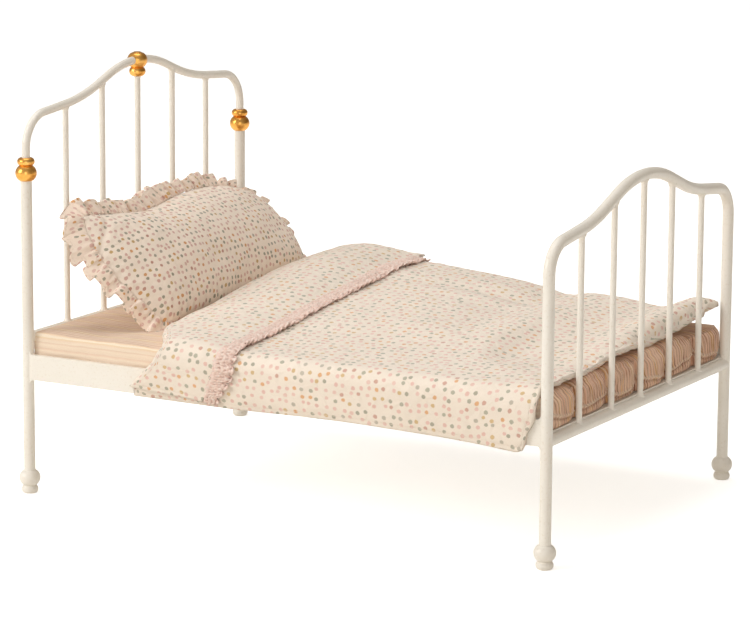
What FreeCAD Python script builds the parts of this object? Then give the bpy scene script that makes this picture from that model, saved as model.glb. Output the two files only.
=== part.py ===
import FreeCAD, Part
import math
import os

import Sketcher

# Doll's metal bed with mattress, duvet and pillow.
# Frame: origin on the floor at the middle of the footprint, +X from the head to the foot, +Z up.
# "front" is the -Y side, where the duvet hangs over the side rail.  Millimetres.

doc = FreeCAD.newDocument("DollBed")
sheet = doc.addObject("Spreadsheet::Sheet", "Dimensions")
V = FreeCAD.Vector
rows = [0]


class Q:
    """A length with its number and its spreadsheet expression."""

    def __init__(self, value, text):
        self.value = float(value)
        self.text = text

    def _of(self, other):
        return other if isinstance(other, Q) else Q(other, repr(float(other)))

    def __add__(self, other):
        o = self._of(other)
        return Q(self.value + o.value, "(%s + %s)" % (self.text, o.text))

    def __radd__(self, other):
        return self._of(other) + self

    def __sub__(self, other):
        o = self._of(other)
        return Q(self.value - o.value, "(%s - %s)" % (self.text, o.text))

    def __rsub__(self, other):
        return self._of(other) - self

    def __mul__(self, other):
        o = self._of(other)
        return Q(self.value * o.value, "(%s * %s)" % (self.text, o.text))

    __rmul__ = __mul__

    def __truediv__(self, other):
        o = self._of(other)
        return Q(self.value / o.value, "(%s / %s)" % (self.text, o.text))

    def __neg__(self):
        return Q(-self.value, "(0 - %s)" % self.text)


def cell(alias, value):
    """A plain number in the sheet, with an alias."""
    rows[0] += 1
    number = "%.6f" % value
    sheet.set("A%d" % rows[0], alias)
    sheet.set("B%d" % rows[0], number)
    sheet.setAlias("B%d" % rows[0], alias)
    return Q(float(number), "Dimensions.%s" % alias)


# ---- driving dimensions -------------------------------------------------------------------------
half_length = cell("half_length", 136.0)  # post axes, along X
half_width = cell("half_width", 95.7)  # post axes, along Y
post_radius = cell("post_radius", 2.72)
wire_radius = cell("wire_radius", 2.0)
bar_radius = cell("bar_radius", 1.45)
bar_flare = cell("bar_flare", 2.1)
bar_flare_top = cell("bar_flare_top", 1.85)
flare_height = cell("flare_height", 1.8)

cast_height = cell("cast_height", 10.9)
cast_neck = cell("cast_neck", 3.7)
cast_neck_radius = cell("cast_neck_radius", 3.0)
cast_small_arc = cell("cast_small_arc", 2.28)
cast_big_arc = cell("cast_big_arc", 4.22)
cast_base_radius = cell("cast_base_radius", 3.1)
cast_lip_radius = cell("cast_lip_radius", 3.05)
foot_socket = cell("foot_socket", 5.0)

collar_base = cell("collar_base", 149.3)
collar_height = cell("collar_height", 10.9)
collar_neck = cell("collar_neck", 7.2)
collar_socket = cell("collar_socket", 3.2)
collar_big_arc = cell("collar_big_arc", 4.22)
collar_small_arc = cell("collar_small_arc", 2.0)
collar_top_radius = cell("collar_top_radius", 2.7)

knob_base = cell("knob_base", 187.8)
knob_neck = cell("knob_neck", 192.1)
knob_shoulder = cell("knob_shoulder", 198.9)
knob_top = cell("knob_top", 199.7)
knob_crown_radius = cell("knob_crown_radius", 1.5)
knob_base_radius = cell("knob_base_radius", 2.4)
knob_shoulder_radius = cell("knob_shoulder_radius", 3.3)
knob_small_arc = cell("knob_small_arc", 2.45)
knob_big_arc = cell("knob_big_arc", 4.15)

rail_base = cell("rail_base", 55.0)
rail_height = cell("rail_height", 12.0)
rail_thickness = cell("rail_thickness", 2.4)
rail_stand_off = cell("rail_stand_off", 2.0)  # outer face beyond the post axis
rail_end_fillet = cell("rail_end_fillet", 1.3)

head_rail_height = cell("head_rail_height", 74.6)
foot_rail_height = cell("foot_rail_height", 57.0)

base_top = cell("base_top", 60.6)
base_thickness = cell("base_thickness", 0.8)
base_half_length = cell("base_half_length", 133.2)
base_foot_reach = cell("base_foot_reach", 135.5)  # over the foot rail, from the middle
base_half_width = cell("base_half_width", 95.3)

mattress_bottom = cell("mattress_bottom", 60.8)
mattress_thickness = cell("mattress_thickness", 16.2)
mattress_head = cell("mattress_head", -130.6)
mattress_foot = cell("mattress_foot", 132.8)
mattress_half_width = cell("mattress_half_width", 93.6)
mattress_corner = cell("mattress_corner", 6.0)
mattress_edge = cell("mattress_edge", 2.5)
case_wall = cell("case_wall", 0.6)

duvet_head = cell("duvet_head", -76.0)
duvet_foot = cell("duvet_foot", 132.6)
duvet_bottom = cell("duvet_bottom", 77.3)
duvet_top = cell("duvet_top", 83.5)
duvet_front = cell("duvet_front", -100.7)
duvet_drape_inner = cell("duvet_drape_inner", -98.0)
duvet_drape_low = cell("duvet_drape_low", 53.6)
duvet_back = cell("duvet_back", 93.4)
duvet_round = cell("duvet_round", 3.5)
flap_end = cell("flap_end", -30.2)
flap_top = cell("flap_top", 89.5)
flap_inset = cell("flap_inset", 2.0)
lace_end = cell("lace_end", -21.0)
lace_thickness = cell("lace_thickness", 1.2)

pillow_width = cell("pillow_width", 142.0)
pillow_height = cell("pillow_height", 62.0)
pillow_thickness = cell("pillow_thickness", 20.0)
pillow_corner = cell("pillow_corner", 9.0)
pillow_edge = cell("pillow_edge", 6.0)
pillow_center_x = cell("pillow_center_x", -104.6)
pillow_center_z = cell("pillow_center_z", 105.8)
pillow_lean = cell("pillow_lean", 50.0)
ruffle_width = cell("ruffle_width", 5.2)
ruffle_thickness = cell("ruffle_thickness", 2.4)


# ---- helpers ------------------------------------------------------------------------------------
def plane(body, role):
    return [f for f in body.Origin.OriginFeatures if f.Role == role][0]


def new_sketch(body, role, name, offset=None, offset_text=None):
    sk = body.newObject("Sketcher::SketchObject", name)
    sk.AttachmentSupport = (plane(body, role), [""])
    sk.MapMode = "FlatFace"
    if offset is not None:
        sk.AttachmentOffset = FreeCAD.Placement(V(0, 0, offset), FreeCAD.Rotation())
        sk.setExpression("AttachmentOffset.Base.z", offset_text)
    return sk


def pin_point(sk, geo, pos, x, y):
    """Ties a point to the origin by its two distances, each bound to the sheet."""
    for kind, q, axis in (("DistanceX", x, -2), ("DistanceY", y, -1)):
        if abs(q.value) < 1e-9:
            sk.addConstraint(Sketcher.Constraint("PointOnObject", geo, pos, axis))
            continue
        if q.value > 0:
            i = sk.addConstraint(Sketcher.Constraint(kind, -1, 1, geo, pos, q.value))
            text = q.text
        else:
            i = sk.addConstraint(Sketcher.Constraint(kind, geo, pos, -1, 1, -q.value))
            text = (-q).text
        sk.setExpression("Constraints[%d]" % i, text)


def chain(sk, points, bends, closed):
    """Lines and arcs through points. bends[i] is None for a line, or (radius, turn), turn +1 to the left
    and -1 to the right, for the stretch from point i to the next."""
    n = len(points)
    stretches = n if closed else n - 1
    ends = []
    for i in range(stretches):
        a, b = points[i], points[(i + 1) % n]
        pa, pb = V(a[0].value, a[1].value, 0), V(b[0].value, b[1].value, 0)
        bend = bends[i]
        if bend is None:
            geo = sk.addGeometry(Part.LineSegment(pa, pb), False)
            ends.append((geo, 1, 2))
            continue
        radius, turn = bend
        mid = (pa + pb) * 0.5
        along = pb - pa
        half = along.Length / 2
        rise = math.sqrt(max(radius.value**2 - half**2, 0.0))
        along.normalize()
        left = V(-along.y, along.x, 0)
        center = mid + left * (rise * turn)
        ta = math.atan2(pa.y - center.y, pa.x - center.x)
        tb = math.atan2(pb.y - center.y, pb.x - center.x)
        circle = Part.Circle(center, V(0, 0, 1), radius.value)
        if turn > 0:
            geo = sk.addGeometry(Part.ArcOfCircle(circle, ta, tb), False)
            ends.append((geo, 1, 2))
        else:
            geo = sk.addGeometry(Part.ArcOfCircle(circle, tb, ta), False)
            ends.append((geo, 2, 1))
    for i in range(stretches):
        if i or closed:
            g0, _, e0 = ends[i - 1]
            g1, s1, _ = ends[i]
            sk.addConstraint(Sketcher.Constraint("Coincident", g0, e0, g1, s1))
    for i in range(stretches):
        pin_point(sk, ends[i][0], ends[i][1], points[i][0], points[i][1])
    if not closed:
        pin_point(sk, ends[-1][0], ends[-1][2], points[-1][0], points[-1][1])
    for i in range(stretches):
        if bends[i] is not None:
            c = sk.addConstraint(Sketcher.Constraint("Radius", ends[i][0], bends[i][0].value))
            sk.setExpression("Constraints[%d]" % c, bends[i][0].text)
    return ends


def place(obj, x=None, y=None, z=None):
    for axis, q in (("x", x), ("y", y), ("z", z)):
        if q is None:
            continue
        base = obj.Placement.Base
        setattr(base, axis, q.value)
        obj.Placement = FreeCAD.Placement(base, obj.Placement.Rotation)
        obj.setExpression("Placement.Base.%s" % axis, q.text)
    return obj


def turned(name, points, bends):
    """A round piece: a closed half profile (radius, height) turned about the Z axis."""
    body = doc.addObject("PartDesign::Body", name)
    sk = new_sketch(body, "XZ_Plane", name + "_profile")
    chain(sk, points, bends, True)
    rev = body.newObject("PartDesign::Revolution", name + "_turned")
    rev.Profile = sk
    rev.ReferenceAxis = (sk, ["V_Axis"])
    rev.Angle = 360
    body.Tip = rev
    return body


def padded(name, role, points, bends, thickness, middle=True, round_edges=None):
    """A flat profile padded square to its plane, both ways from it or one way."""
    body = doc.addObject("PartDesign::Body", name)
    sk = new_sketch(body, role, name + "_profile")
    chain(sk, points, bends, True)
    pad = body.newObject("PartDesign::Pad", name + "_pad")
    pad.Profile = sk
    pad.Length = thickness.value
    pad.setExpression("Length", thickness.text)
    if middle:
        if hasattr(pad, "SideType"):
            pad.SideType = "Symmetric"
        else:
            pad.Midplane = True
    body.Tip = pad
    if round_edges is not None:
        doc.recompute()
        fil = body.newObject("PartDesign::Fillet", name + "_rounded")
        fil.Base = (pad, ["Face%d" % (i + 1) for i, f in enumerate(pad.Shape.Faces) if flat_cap(f, role)])
        fil.Radius = round_edges.value
        fil.setExpression("Radius", round_edges.text)
        body.Tip = fil
    return body


def flat_cap(face, role):
    """The two end faces of a pad, whose borders are rounded."""
    axis = {"XY_Plane": V(0, 0, 1), "XZ_Plane": V(0, 1, 0), "YZ_Plane": V(1, 0, 0)}[role]
    return face.Surface.TypeId == "Part::GeomPlane" and abs(face.Surface.Axis.dot(axis)) > 0.999


def rounded_rectangle(x0, x1, y0, y1, r):
    points = [
        (x0 + r, y0), (x1 - r, y0), (x1, y0 + r), (x1, y1 - r),
        (x1 - r, y1), (x0 + r, y1), (x0, y1 - r), (x0, y0 + r),
    ]
    bends = [None, (r, 1), None, (r, 1), None, (r, 1), None, (r, 1)]
    return points, bends


def cut(name, base, *tools):
    """base less each tool in turn; the last cut carries the name."""
    for i, tool in enumerate(tools):
        last = i == len(tools) - 1
        c = doc.addObject("Part::Cut", name if last else "%s_cope_%d" % (name, i + 1))
        c.Base = base
        c.Tool = tool
        base = c
    return base


def bent_tube(name, prefix, x, start, corners, radius):
    """A tube bent in a plane square to X: up from start, over the three corners of one half, mirrored
    about the middle. corners are (y, z, bend radius) on the near half, and the last is on the middle."""
    (y1, z1, r1), (y2, z2, r2), (y3, z3, r3) = corners

    def unit(ax, ay, bx, by):
        d = math.hypot(bx - ax, by - ay)
        return (bx - ax) / d, (by - ay) / d

    d0, d1, d2 = (0.0, 1.0), unit(y1, z1, y2, z2), unit(y2, z2, y3, z3)

    def setback(a, b, r):
        turn = math.acos(max(-1, min(1, a[0] * b[0] + a[1] * b[1])))
        return r * math.tan(turn / 2)

    t1, t2 = setback(d0, d1, r1), setback(d1, d2, r2)
    t3 = setback(d2, (d2[0], -d2[1]), r3)
    half = [
        (y1, z1 - t1), (y1 + d1[0] * t1, z1 + d1[1] * t1),
        (y2 - d1[0] * t2, z2 - d1[1] * t2), (y2 + d2[0] * t2, z2 + d2[1] * t2),
        (y3 - d2[0] * t3, z3 - d2[1] * t3),
    ]
    qs = [(-half_width, start)]
    for i, (py, pz) in enumerate(half):
        word = "abcde"[i]
        qy = -half_width if i == 0 else cell("%s_%s_side" % (prefix, word), py)
        qs.append((qy, cell("%s_%s_high" % (prefix, word), pz)))
    q1, q2, q3 = (cell("%s_bend_%s" % (prefix, w), r) for w, r in (("one", r1), ("two", r2), ("three", r3)))
    points = qs + [(-py, pz) for py, pz in reversed(qs)]
    bends = [None, (q1, -1), None, (q2, 1), None, (q3, -1), None, (q2, 1), None, (q1, -1), None]
    body = doc.addObject("PartDesign::Body", name)
    path = new_sketch(body, "YZ_Plane", name + "_path")
    chain(path, points, bends, False)
    ring = new_sketch(body, "XY_Plane", name + "_section", start.value, start.text)
    ring.addGeometry(Part.Circle(V(0, -half_width.value, 0), V(0, 0, 1), radius.value), False)
    ring.addConstraint(Sketcher.Constraint("PointOnObject", 0, 3, -2))
    i = ring.addConstraint(Sketcher.Constraint("DistanceY", 0, 3, -1, 1, half_width.value))
    ring.setExpression("Constraints[%d]" % i, half_width.text)
    i = ring.addConstraint(Sketcher.Constraint("Radius", 0, radius.value))
    ring.setExpression("Constraints[%d]" % i, radius.text)
    pipe = body.newObject("PartDesign::AdditivePipe", name + "_bent")
    pipe.Profile = ring
    pipe.Spine = (path, ["Edge%d" % (k + 1) for k in range(len(bends))])
    pipe.Mode = "Standard"
    body.Tip = pipe
    place(body, x=x)
    return body


zero = Q(0.0, "0")
parts = []

# ---- head end -----------------------------------------------------------------------------------
joint_height = collar_base + collar_socket  # where the post ends and the arch wire begins
for side, sign in (("front", -1.0), ("back", 1.0)):
    post = doc.addObject("PartDesign::Body", "head_post_" + side)
    ring = new_sketch(post, "XY_Plane", post.Name + "_section", foot_socket.value, foot_socket.text)
    ring.addGeometry(Part.Circle(V(0, 0, 0), V(0, 0, 1), post_radius.value), False)
    ring.addConstraint(Sketcher.Constraint("Coincident", 0, 3, -1, 1))
    i = ring.addConstraint(Sketcher.Constraint("Radius", 0, post_radius.value))
    ring.setExpression("Constraints[%d]" % i, post_radius.text)
    pad = post.newObject("PartDesign::Pad", post.Name + "_pad")
    pad.Profile = ring
    pad.Length = (joint_height - foot_socket).value
    pad.setExpression("Length", (joint_height - foot_socket).text)
    post.Tip = pad
    place(post, x=-half_length, y=half_width * sign)
    parts.append(post)
head_posts = list(parts)

head_corners = [(-95.7, 178.4, 16.0), (-47.6, 182.75, 110.0), (0.0, 200.8, 72.0)]
head_arch = bent_tube("head_arch", "arch", -half_length, joint_height, head_corners, wire_radius)
parts.append(head_arch)

foot_corners = [(-95.7, 142.3, 14.0), (-52.6, 147.5, 95.0), (0.0, 167.2, 80.0)]
foot_hoop = bent_tube("foot_hoop", "hoop", half_length, foot_socket, foot_corners, post_radius)
parts.append(foot_hoop)


def cross_rod(name, x, z, coped_on):
    rod = doc.addObject("Part::Cylinder", name + "_rod")
    rod.Radius = post_radius.value
    rod.setExpression("Radius", post_radius.text)
    rod.Height = 2 * half_width.value
    rod.setExpression("Height", (half_width * 2).text)
    rod.Placement = FreeCAD.Placement(V(0, 0, 0), FreeCAD.Rotation(V(1, 0, 0), -90))
    place(rod, x=x, y=-half_width, z=z)
    return cut(name, rod, *coped_on)


head_cross_rail = cross_rod("head_cross_rail", -half_length, head_rail_height, head_posts)
foot_cross_rail = cross_rod("foot_cross_rail", half_length, foot_rail_height, [foot_hoop])
parts += [head_cross_rail, foot_cross_rail]


def height_on(corners, y):
    """Height of the bent tube's centre line at y, on its straight stretches."""
    (y1, z1, _), (y2, z2, _), (y3, z3, r3) = corners
    a = -abs(y)
    if a < y2:
        return z1 + (z2 - z1) * (a - y1) / (y2 - y1)
    slope = math.atan2(z3 - z2, y3 - y2)
    if a < -r3 * math.sin(slope):
        return z2 + (z3 - z2) * (a - y2) / (y3 - y2)
    top = z3 - r3 * (1 / math.cos(slope) - 1)
    return top - r3 + math.sqrt(r3**2 - a**2)


def baluster(name, x, y, low, high, over, top_radius, tools, square_top=False):
    """An upright wire. It runs from the cross rail's axis to the arch's axis, is flared at both welds,
    and is coped by both tubes. over is the arch tube's radius."""
    flare_low = low + post_radius - 0.3
    flare_up = high if square_top else high - over + 0.1
    points = [
        (zero, low), (bar_flare, low), (bar_flare, flare_low), (bar_radius, flare_low + flare_height),
        (bar_radius, flare_up - flare_height), (top_radius, flare_up), (top_radius, high), (zero, high),
    ]
    sweep = cell(name.replace("_", "") + "weld", 2.9)
    bends = [None, None, (sweep, -1), None, (sweep, -1), None, None, None]
    if square_top:
        points.pop(6)
        bends.pop(6)
    body = turned(name + "_wire", points, bends)
    place(body, x=x, y=y)
    return cut(name, body, *tools)


for i, y in enumerate((-62.6, -31.3, 0.0, 31.3, 62.6)):
    word = ("one", "two", "three", "four", "five")[i]
    name = "head_baluster_%d" % (i + 1)
    qy = cell("head_bar_%s_side" % word, y)
    if y == 0:
        b = baluster(name, -half_length, qy, head_rail_height, knob_base, wire_radius, bar_flare_top,
                     [head_cross_rail], True)
    else:
        top = cell("head_bar_%s_high" % word, height_on(head_corners, y))
        b = baluster(name, -half_length, qy, head_rail_height, top, wire_radius, bar_flare_top,
                     [head_cross_rail, head_arch])
    parts.append(b)
for i, y in enumerate((-64.0, -30.8, 0.0, 30.8, 64.0)):
    word = ("one", "two", "three", "four", "five")[i]
    qy = cell("foot_bar_%s_side" % word, y)
    top = cell("foot_bar_%s_high" % word, height_on(foot_corners, y))
    parts.append(baluster("foot_baluster_%d" % (i + 1), half_length, qy, foot_rail_height, top, post_radius,
                          bar_flare, [foot_cross_rail, foot_hoop]))

# ---- cast collars, knob and feet ----------------------------------------------------------------
for side, sign in (("front", -1.0), ("back", 1.0)):
    collar = turned(
        "finial_" + side,
        [
            (post_radius, zero), (cast_lip_radius, zero), (cast_neck_radius, collar_neck),
            (collar_top_radius, collar_height), (wire_radius, collar_height),
            (wire_radius, collar_socket), (post_radius, collar_socket),
        ],
        [None, (collar_big_arc, 1), (collar_small_arc, 1), None, None, None, None],
    )
    place(collar, x=-half_length, y=half_width * sign, z=collar_base)
    parts.append(collar)

knob = turned(
    "finial_center_cast",
    [
        (zero, knob_base), (knob_base_radius, knob_base), (cast_neck_radius, knob_neck),
        (knob_shoulder_radius, knob_shoulder), (knob_crown_radius, knob_top), (zero, knob_top),
    ],
    [None, (knob_small_arc, 1), (knob_big_arc, 1), None, None, None],
)
place(knob, x=-half_length)
parts.append(cut("finial_center", knob, head_arch))

for end, x in (("head", -half_length), ("foot", half_length)):
    for side, sign in (("front", -1.0), ("back", 1.0)):
        foot = turned(
            "turned_foot_%s_%s" % (end, side),
            [
                (zero, zero), (cast_base_radius, zero), (cast_neck_radius, cast_neck),
                (cast_lip_radius, cast_height), (post_radius, cast_height),
                (post_radius, foot_socket), (zero, foot_socket),
            ],
            [None, (cast_small_arc, 1), (cast_big_arc, 1), None, None, None, None],
        )
        place(foot, x=x, y=half_width * sign)
        parts.append(foot)

# ---- side rails and base ------------------------------------------------------------------------
# Each rail is a flat bar whose ends widen into the welds, coped on its two posts.
low, high = rail_base, rail_base + rail_height
reach = half_length - post_radius + 0.35
for side, sign in (("front", -1.0), ("back", 1.0)):
    f = rail_end_fillet
    points = [
        (-half_length, low - f), (-reach, low - f), (-reach + f, low), (reach - f, low),
        (reach, low - f), (half_length, low - f), (half_length, high + f), (reach, high + f),
        (reach - f, high), (-reach + f, high), (-reach, high + f), (-half_length, high + f),
    ]
    bends = [None, (f, -1), None, (f, -1), None, None, None, (f, -1), None, (f, -1), None, None]
    bar = padded("side_rail_%s_bar" % side, "XZ_Plane", points, bends, rail_thickness)
    place(bar, y=(half_width + rail_stand_off - rail_thickness / 2) * sign)
    parts.append(cut("side_rail_" + side, bar, head_posts[0 if sign < 0 else 1], foot_hoop))

# the sheet reaches over the foot rail, and is notched round the wires and the legs there
base = doc.addObject("Part::Box", "bed_base_sheet")
for prop, q in (("Length", base_half_length + base_foot_reach), ("Width", base_half_width * 2), ("Height", base_thickness)):
    setattr(base, prop, q.value)
    base.setExpression(prop, q.text)
place(base, x=-base_half_length, y=-base_half_width, z=base_top - base_thickness)
parts.append(cut("bed_base", base, foot_hoop, *[p for p in parts if p.Name.startswith("foot_baluster")]))

# ---- mattress -----------------------------------------------------------------------------------
w = case_wall
points, bends = rounded_rectangle(mattress_head, mattress_foot, -mattress_half_width, mattress_half_width,
                                  mattress_corner)
block = padded("mattress_block", "XY_Plane", points, bends, mattress_thickness, True, mattress_edge)
place(block, z=mattress_bottom + mattress_thickness / 2)
points, bends = rounded_rectangle(mattress_head + w, mattress_foot - w, -mattress_half_width + w,
                                  mattress_half_width - w, mattress_corner - w)
stuffing = padded("mattress_filling", "XY_Plane", points, bends, mattress_thickness - w * 2, True,
                  mattress_edge - w)
place(stuffing, z=mattress_bottom + mattress_thickness / 2)
parts += [cut("mattress_cover", block, stuffing), stuffing]

# ---- duvet --------------------------------------------------------------------------------------
# One L-shaped quilt: flat over the mattress and hanging outside the front rail, with its head end
# turned back on itself as a second layer.
r = duvet_round
points = [
    (duvet_front, duvet_drape_low), (duvet_drape_inner, duvet_drape_low), (duvet_drape_inner, duvet_bottom),
    (duvet_back, duvet_bottom), (duvet_back, duvet_top), (duvet_front + r, duvet_top), (duvet_front, duvet_top - r),
]
quilt = padded("duvet_body", "YZ_Plane", points, [None, None, None, None, None, (r, 1), None], duvet_foot - duvet_head)
place(quilt, x=(duvet_head + duvet_foot) / 2)
flap = doc.addObject("Part::Box", "duvet_flap")
for prop, q in (("Length", flap_end - duvet_head), ("Width", duvet_back - duvet_front - duvet_round - flap_inset),
                ("Height", flap_top - duvet_top + 0.5)):
    setattr(flap, prop, q.value)
    flap.setExpression(prop, q.text)
place(flap, x=duvet_head, y=duvet_front + duvet_round, z=duvet_top - 0.5)
duvet = doc.addObject("Part::Fuse", "duvet")
duvet.Base = quilt
duvet.Tool = flap
parts.append(duvet)

lace = doc.addObject("Part::Box", "lace_trim")
for prop, q in (("Length", lace_end - flap_end - 0.2), ("Width", duvet_back - duvet_front - duvet_round - flap_inset),
                ("Height", lace_thickness)):
    setattr(lace, prop, q.value)
    lace.setExpression(prop, q.text)
place(lace, x=flap_end + 0.2, y=duvet_front + duvet_round, z=duvet_top)
parts.append(lace)

# ---- pillow -------------------------------------------------------------------------------------
def tilted(body):
    body.Placement = FreeCAD.Placement(V(pillow_center_x.value, 0, pillow_center_z.value),
                                       FreeCAD.Rotation(V(0, 1, 0), pillow_lean.value))
    body.setExpression("Placement.Rotation.Angle", pillow_lean.text)
    place(body, x=pillow_center_x, z=pillow_center_z)
    return body


def cushion(name, grow, thickness, corner, edge):
    a, b = pillow_height / 2 + grow, pillow_width / 2 + grow
    points, bends = rounded_rectangle(-a, a, -b, b, corner)
    return tilted(padded(name, "XY_Plane", points, bends, thickness, True, edge))


pillow = cushion("pillow_body", zero + 0.0, pillow_thickness, pillow_corner, pillow_edge)
fill = cushion("pillow_filling", -case_wall, pillow_thickness - case_wall * 2, pillow_corner - case_wall,
               pillow_edge - case_wall)
frill = cushion("pillow_ruffle_plate", ruffle_width, ruffle_thickness, pillow_corner + ruffle_width, None)
parts += [cut("pillow_cover", pillow, fill), fill, cut("pillow_ruffle", frill, pillow)]

# ---- check and write ----------------------------------------------------------------------------
doc.recompute()
bad = []
for obj in doc.Objects:
    if any(s in ("Invalid", "Error") for s in obj.State):
        bad.append("%s: %s" % (obj.Name, obj.State))
seen = set()
for obj in parts:
    obj.Label = obj.Name
    if obj.Label in seen:
        bad.append("%s is named twice" % obj.Label)
    seen.add(obj.Label)
    if obj.Shape.isNull() or not obj.Shape.isValid() or not obj.Shape.Solids or obj.Shape.Volume <= 0:
        bad.append("%s: no valid solid" % obj.Name)
if bad:
    raise RuntimeError("not written: " + "; ".join(bad))

os.makedirs("parts", exist_ok=True)
total = 0.0
for obj in parts:
    box = obj.Shape.BoundBox
    print("%-26s solids %d volume %10.1f  x %7.2f %7.2f  y %7.2f %7.2f  z %7.2f %7.2f" % (
        obj.Label, len(obj.Shape.Solids), obj.Shape.Volume, box.XMin, box.XMax, box.YMin, box.YMax, box.ZMin, box.ZMax))
    obj.Shape.exportStep(os.path.join("parts", obj.Label + ".step"))
print("%d parts" % len(parts))
for tube, r in ((head_arch, wire_radius), (foot_hoop, post_radius)):
    path = [o for o in tube.Group if o.Name.endswith("_path")][0]
    length = sum(e.Length for e in path.Shape.Edges)
    print("%s: centre line %.1f, volume over section times length %.5f" % (
        tube.Label, length, tube.Shape.Volume / (math.pi * r.value**2 * length)))
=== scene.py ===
import math

import bpy
import numpy as np
from mathutils import Matrix, Vector


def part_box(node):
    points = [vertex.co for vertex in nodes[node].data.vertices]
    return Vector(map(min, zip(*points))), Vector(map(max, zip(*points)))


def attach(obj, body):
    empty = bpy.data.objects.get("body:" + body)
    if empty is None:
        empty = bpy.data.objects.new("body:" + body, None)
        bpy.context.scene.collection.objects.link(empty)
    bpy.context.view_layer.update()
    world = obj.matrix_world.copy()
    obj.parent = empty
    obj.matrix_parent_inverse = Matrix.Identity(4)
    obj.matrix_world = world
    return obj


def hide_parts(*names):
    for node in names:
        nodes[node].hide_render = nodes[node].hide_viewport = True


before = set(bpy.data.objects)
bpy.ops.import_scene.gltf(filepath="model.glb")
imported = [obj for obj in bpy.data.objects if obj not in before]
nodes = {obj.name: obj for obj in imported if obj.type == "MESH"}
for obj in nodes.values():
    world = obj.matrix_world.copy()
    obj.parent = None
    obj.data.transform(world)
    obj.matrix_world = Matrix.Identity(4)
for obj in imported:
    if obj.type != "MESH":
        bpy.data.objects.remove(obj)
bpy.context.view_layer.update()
MM = 0.001
rng = np.random.RandomState(7)


# ---- small tools --------------------------------------------------------------------------------
def smooth(t):
    t = np.clip(t, 0.0, 1.0)
    return t * t * (3 - 2 * t)


def ramp(x, a, b):
    return smooth((np.asarray(x, float) - a) / (b - a))


def curve(points, blur=4.0):
    """A smooth function through a table of (x, value)."""
    xs = np.array([p[0] for p in points], float)
    vs = np.array([p[1] for p in points], float)
    fine = np.arange(xs[0] - 40, xs[-1] + 40, 0.5)
    v = np.interp(fine, xs, vs)
    if blur > 0:
        half = int(3 * blur / 0.5)
        k = np.exp(-0.5 * (np.arange(-half, half + 1) * 0.5 / blur) ** 2)
        v = np.convolve(np.pad(v, half, mode="edge"), k / k.sum(), mode="valid")
    return lambda x: np.interp(x, fine, v)


class Noise:
    """Smooth value noise on a lattice, the same each run."""

    def __init__(self, seed, n=128):
        self.g = np.random.RandomState(seed).rand(n, n) * 2 - 1
        self.n = n

    def at(self, x, y):
        x, y = np.broadcast_arrays(np.asarray(x, float), np.asarray(y, float))
        xi, yi = np.floor(x).astype(int), np.floor(y).astype(int)
        fx, fy = x - xi, y - yi
        fx, fy = fx * fx * (3 - 2 * fx), fy * fy * (3 - 2 * fy)
        n, g = self.n, self.g
        a, b = g[xi % n, yi % n], g[(xi + 1) % n, yi % n]
        c, d = g[xi % n, (yi + 1) % n], g[(xi + 1) % n, (yi + 1) % n]
        return (a * (1 - fx) + b * fx) * (1 - fy) + (c * (1 - fx) + d * fx) * fy

    def fbm(self, x, y, octaves=3):
        total, amp = 0.0, 1.0
        for _ in range(octaves):
            total = total + amp * self.at(x, y)
            x, y, amp = np.asarray(x) * 2.03 + 17.1, np.asarray(y) * 2.03 + 5.3, amp * 0.5
        return total


def new_mesh(name, verts, faces, uv=None, attrs=None):
    """verts in millimetres in the row frame."""
    mesh = bpy.data.meshes.new(name)
    mesh.from_pydata((np.asarray(verts) * MM).tolist(), [], [tuple(int(i) for i in f) for f in faces])
    if uv is not None:
        layer = mesh.uv_layers.new(name="cloth")
        index = np.zeros(len(mesh.loops), np.int32)
        mesh.loops.foreach_get("vertex_index", index)
        layer.data.foreach_set("uv", np.asarray(uv, np.float32)[index].ravel())
    for key, values in (attrs or {}).items():
        a = mesh.attributes.new(key, "FLOAT", "POINT")
        a.data.foreach_set("value", np.asarray(values, np.float32).ravel())
    mesh.polygons.foreach_set("use_smooth", np.ones(len(mesh.polygons), bool))
    mesh.update()
    obj = bpy.data.objects.new(name, mesh)
    bpy.context.scene.collection.objects.link(obj)
    return obj


def grid_normals(p):
    a = np.gradient(p, axis=0)
    b = np.gradient(p, axis=1)
    n = np.cross(a, b)
    return n / np.maximum(np.linalg.norm(n, axis=2, keepdims=True), 1e-9)


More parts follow.
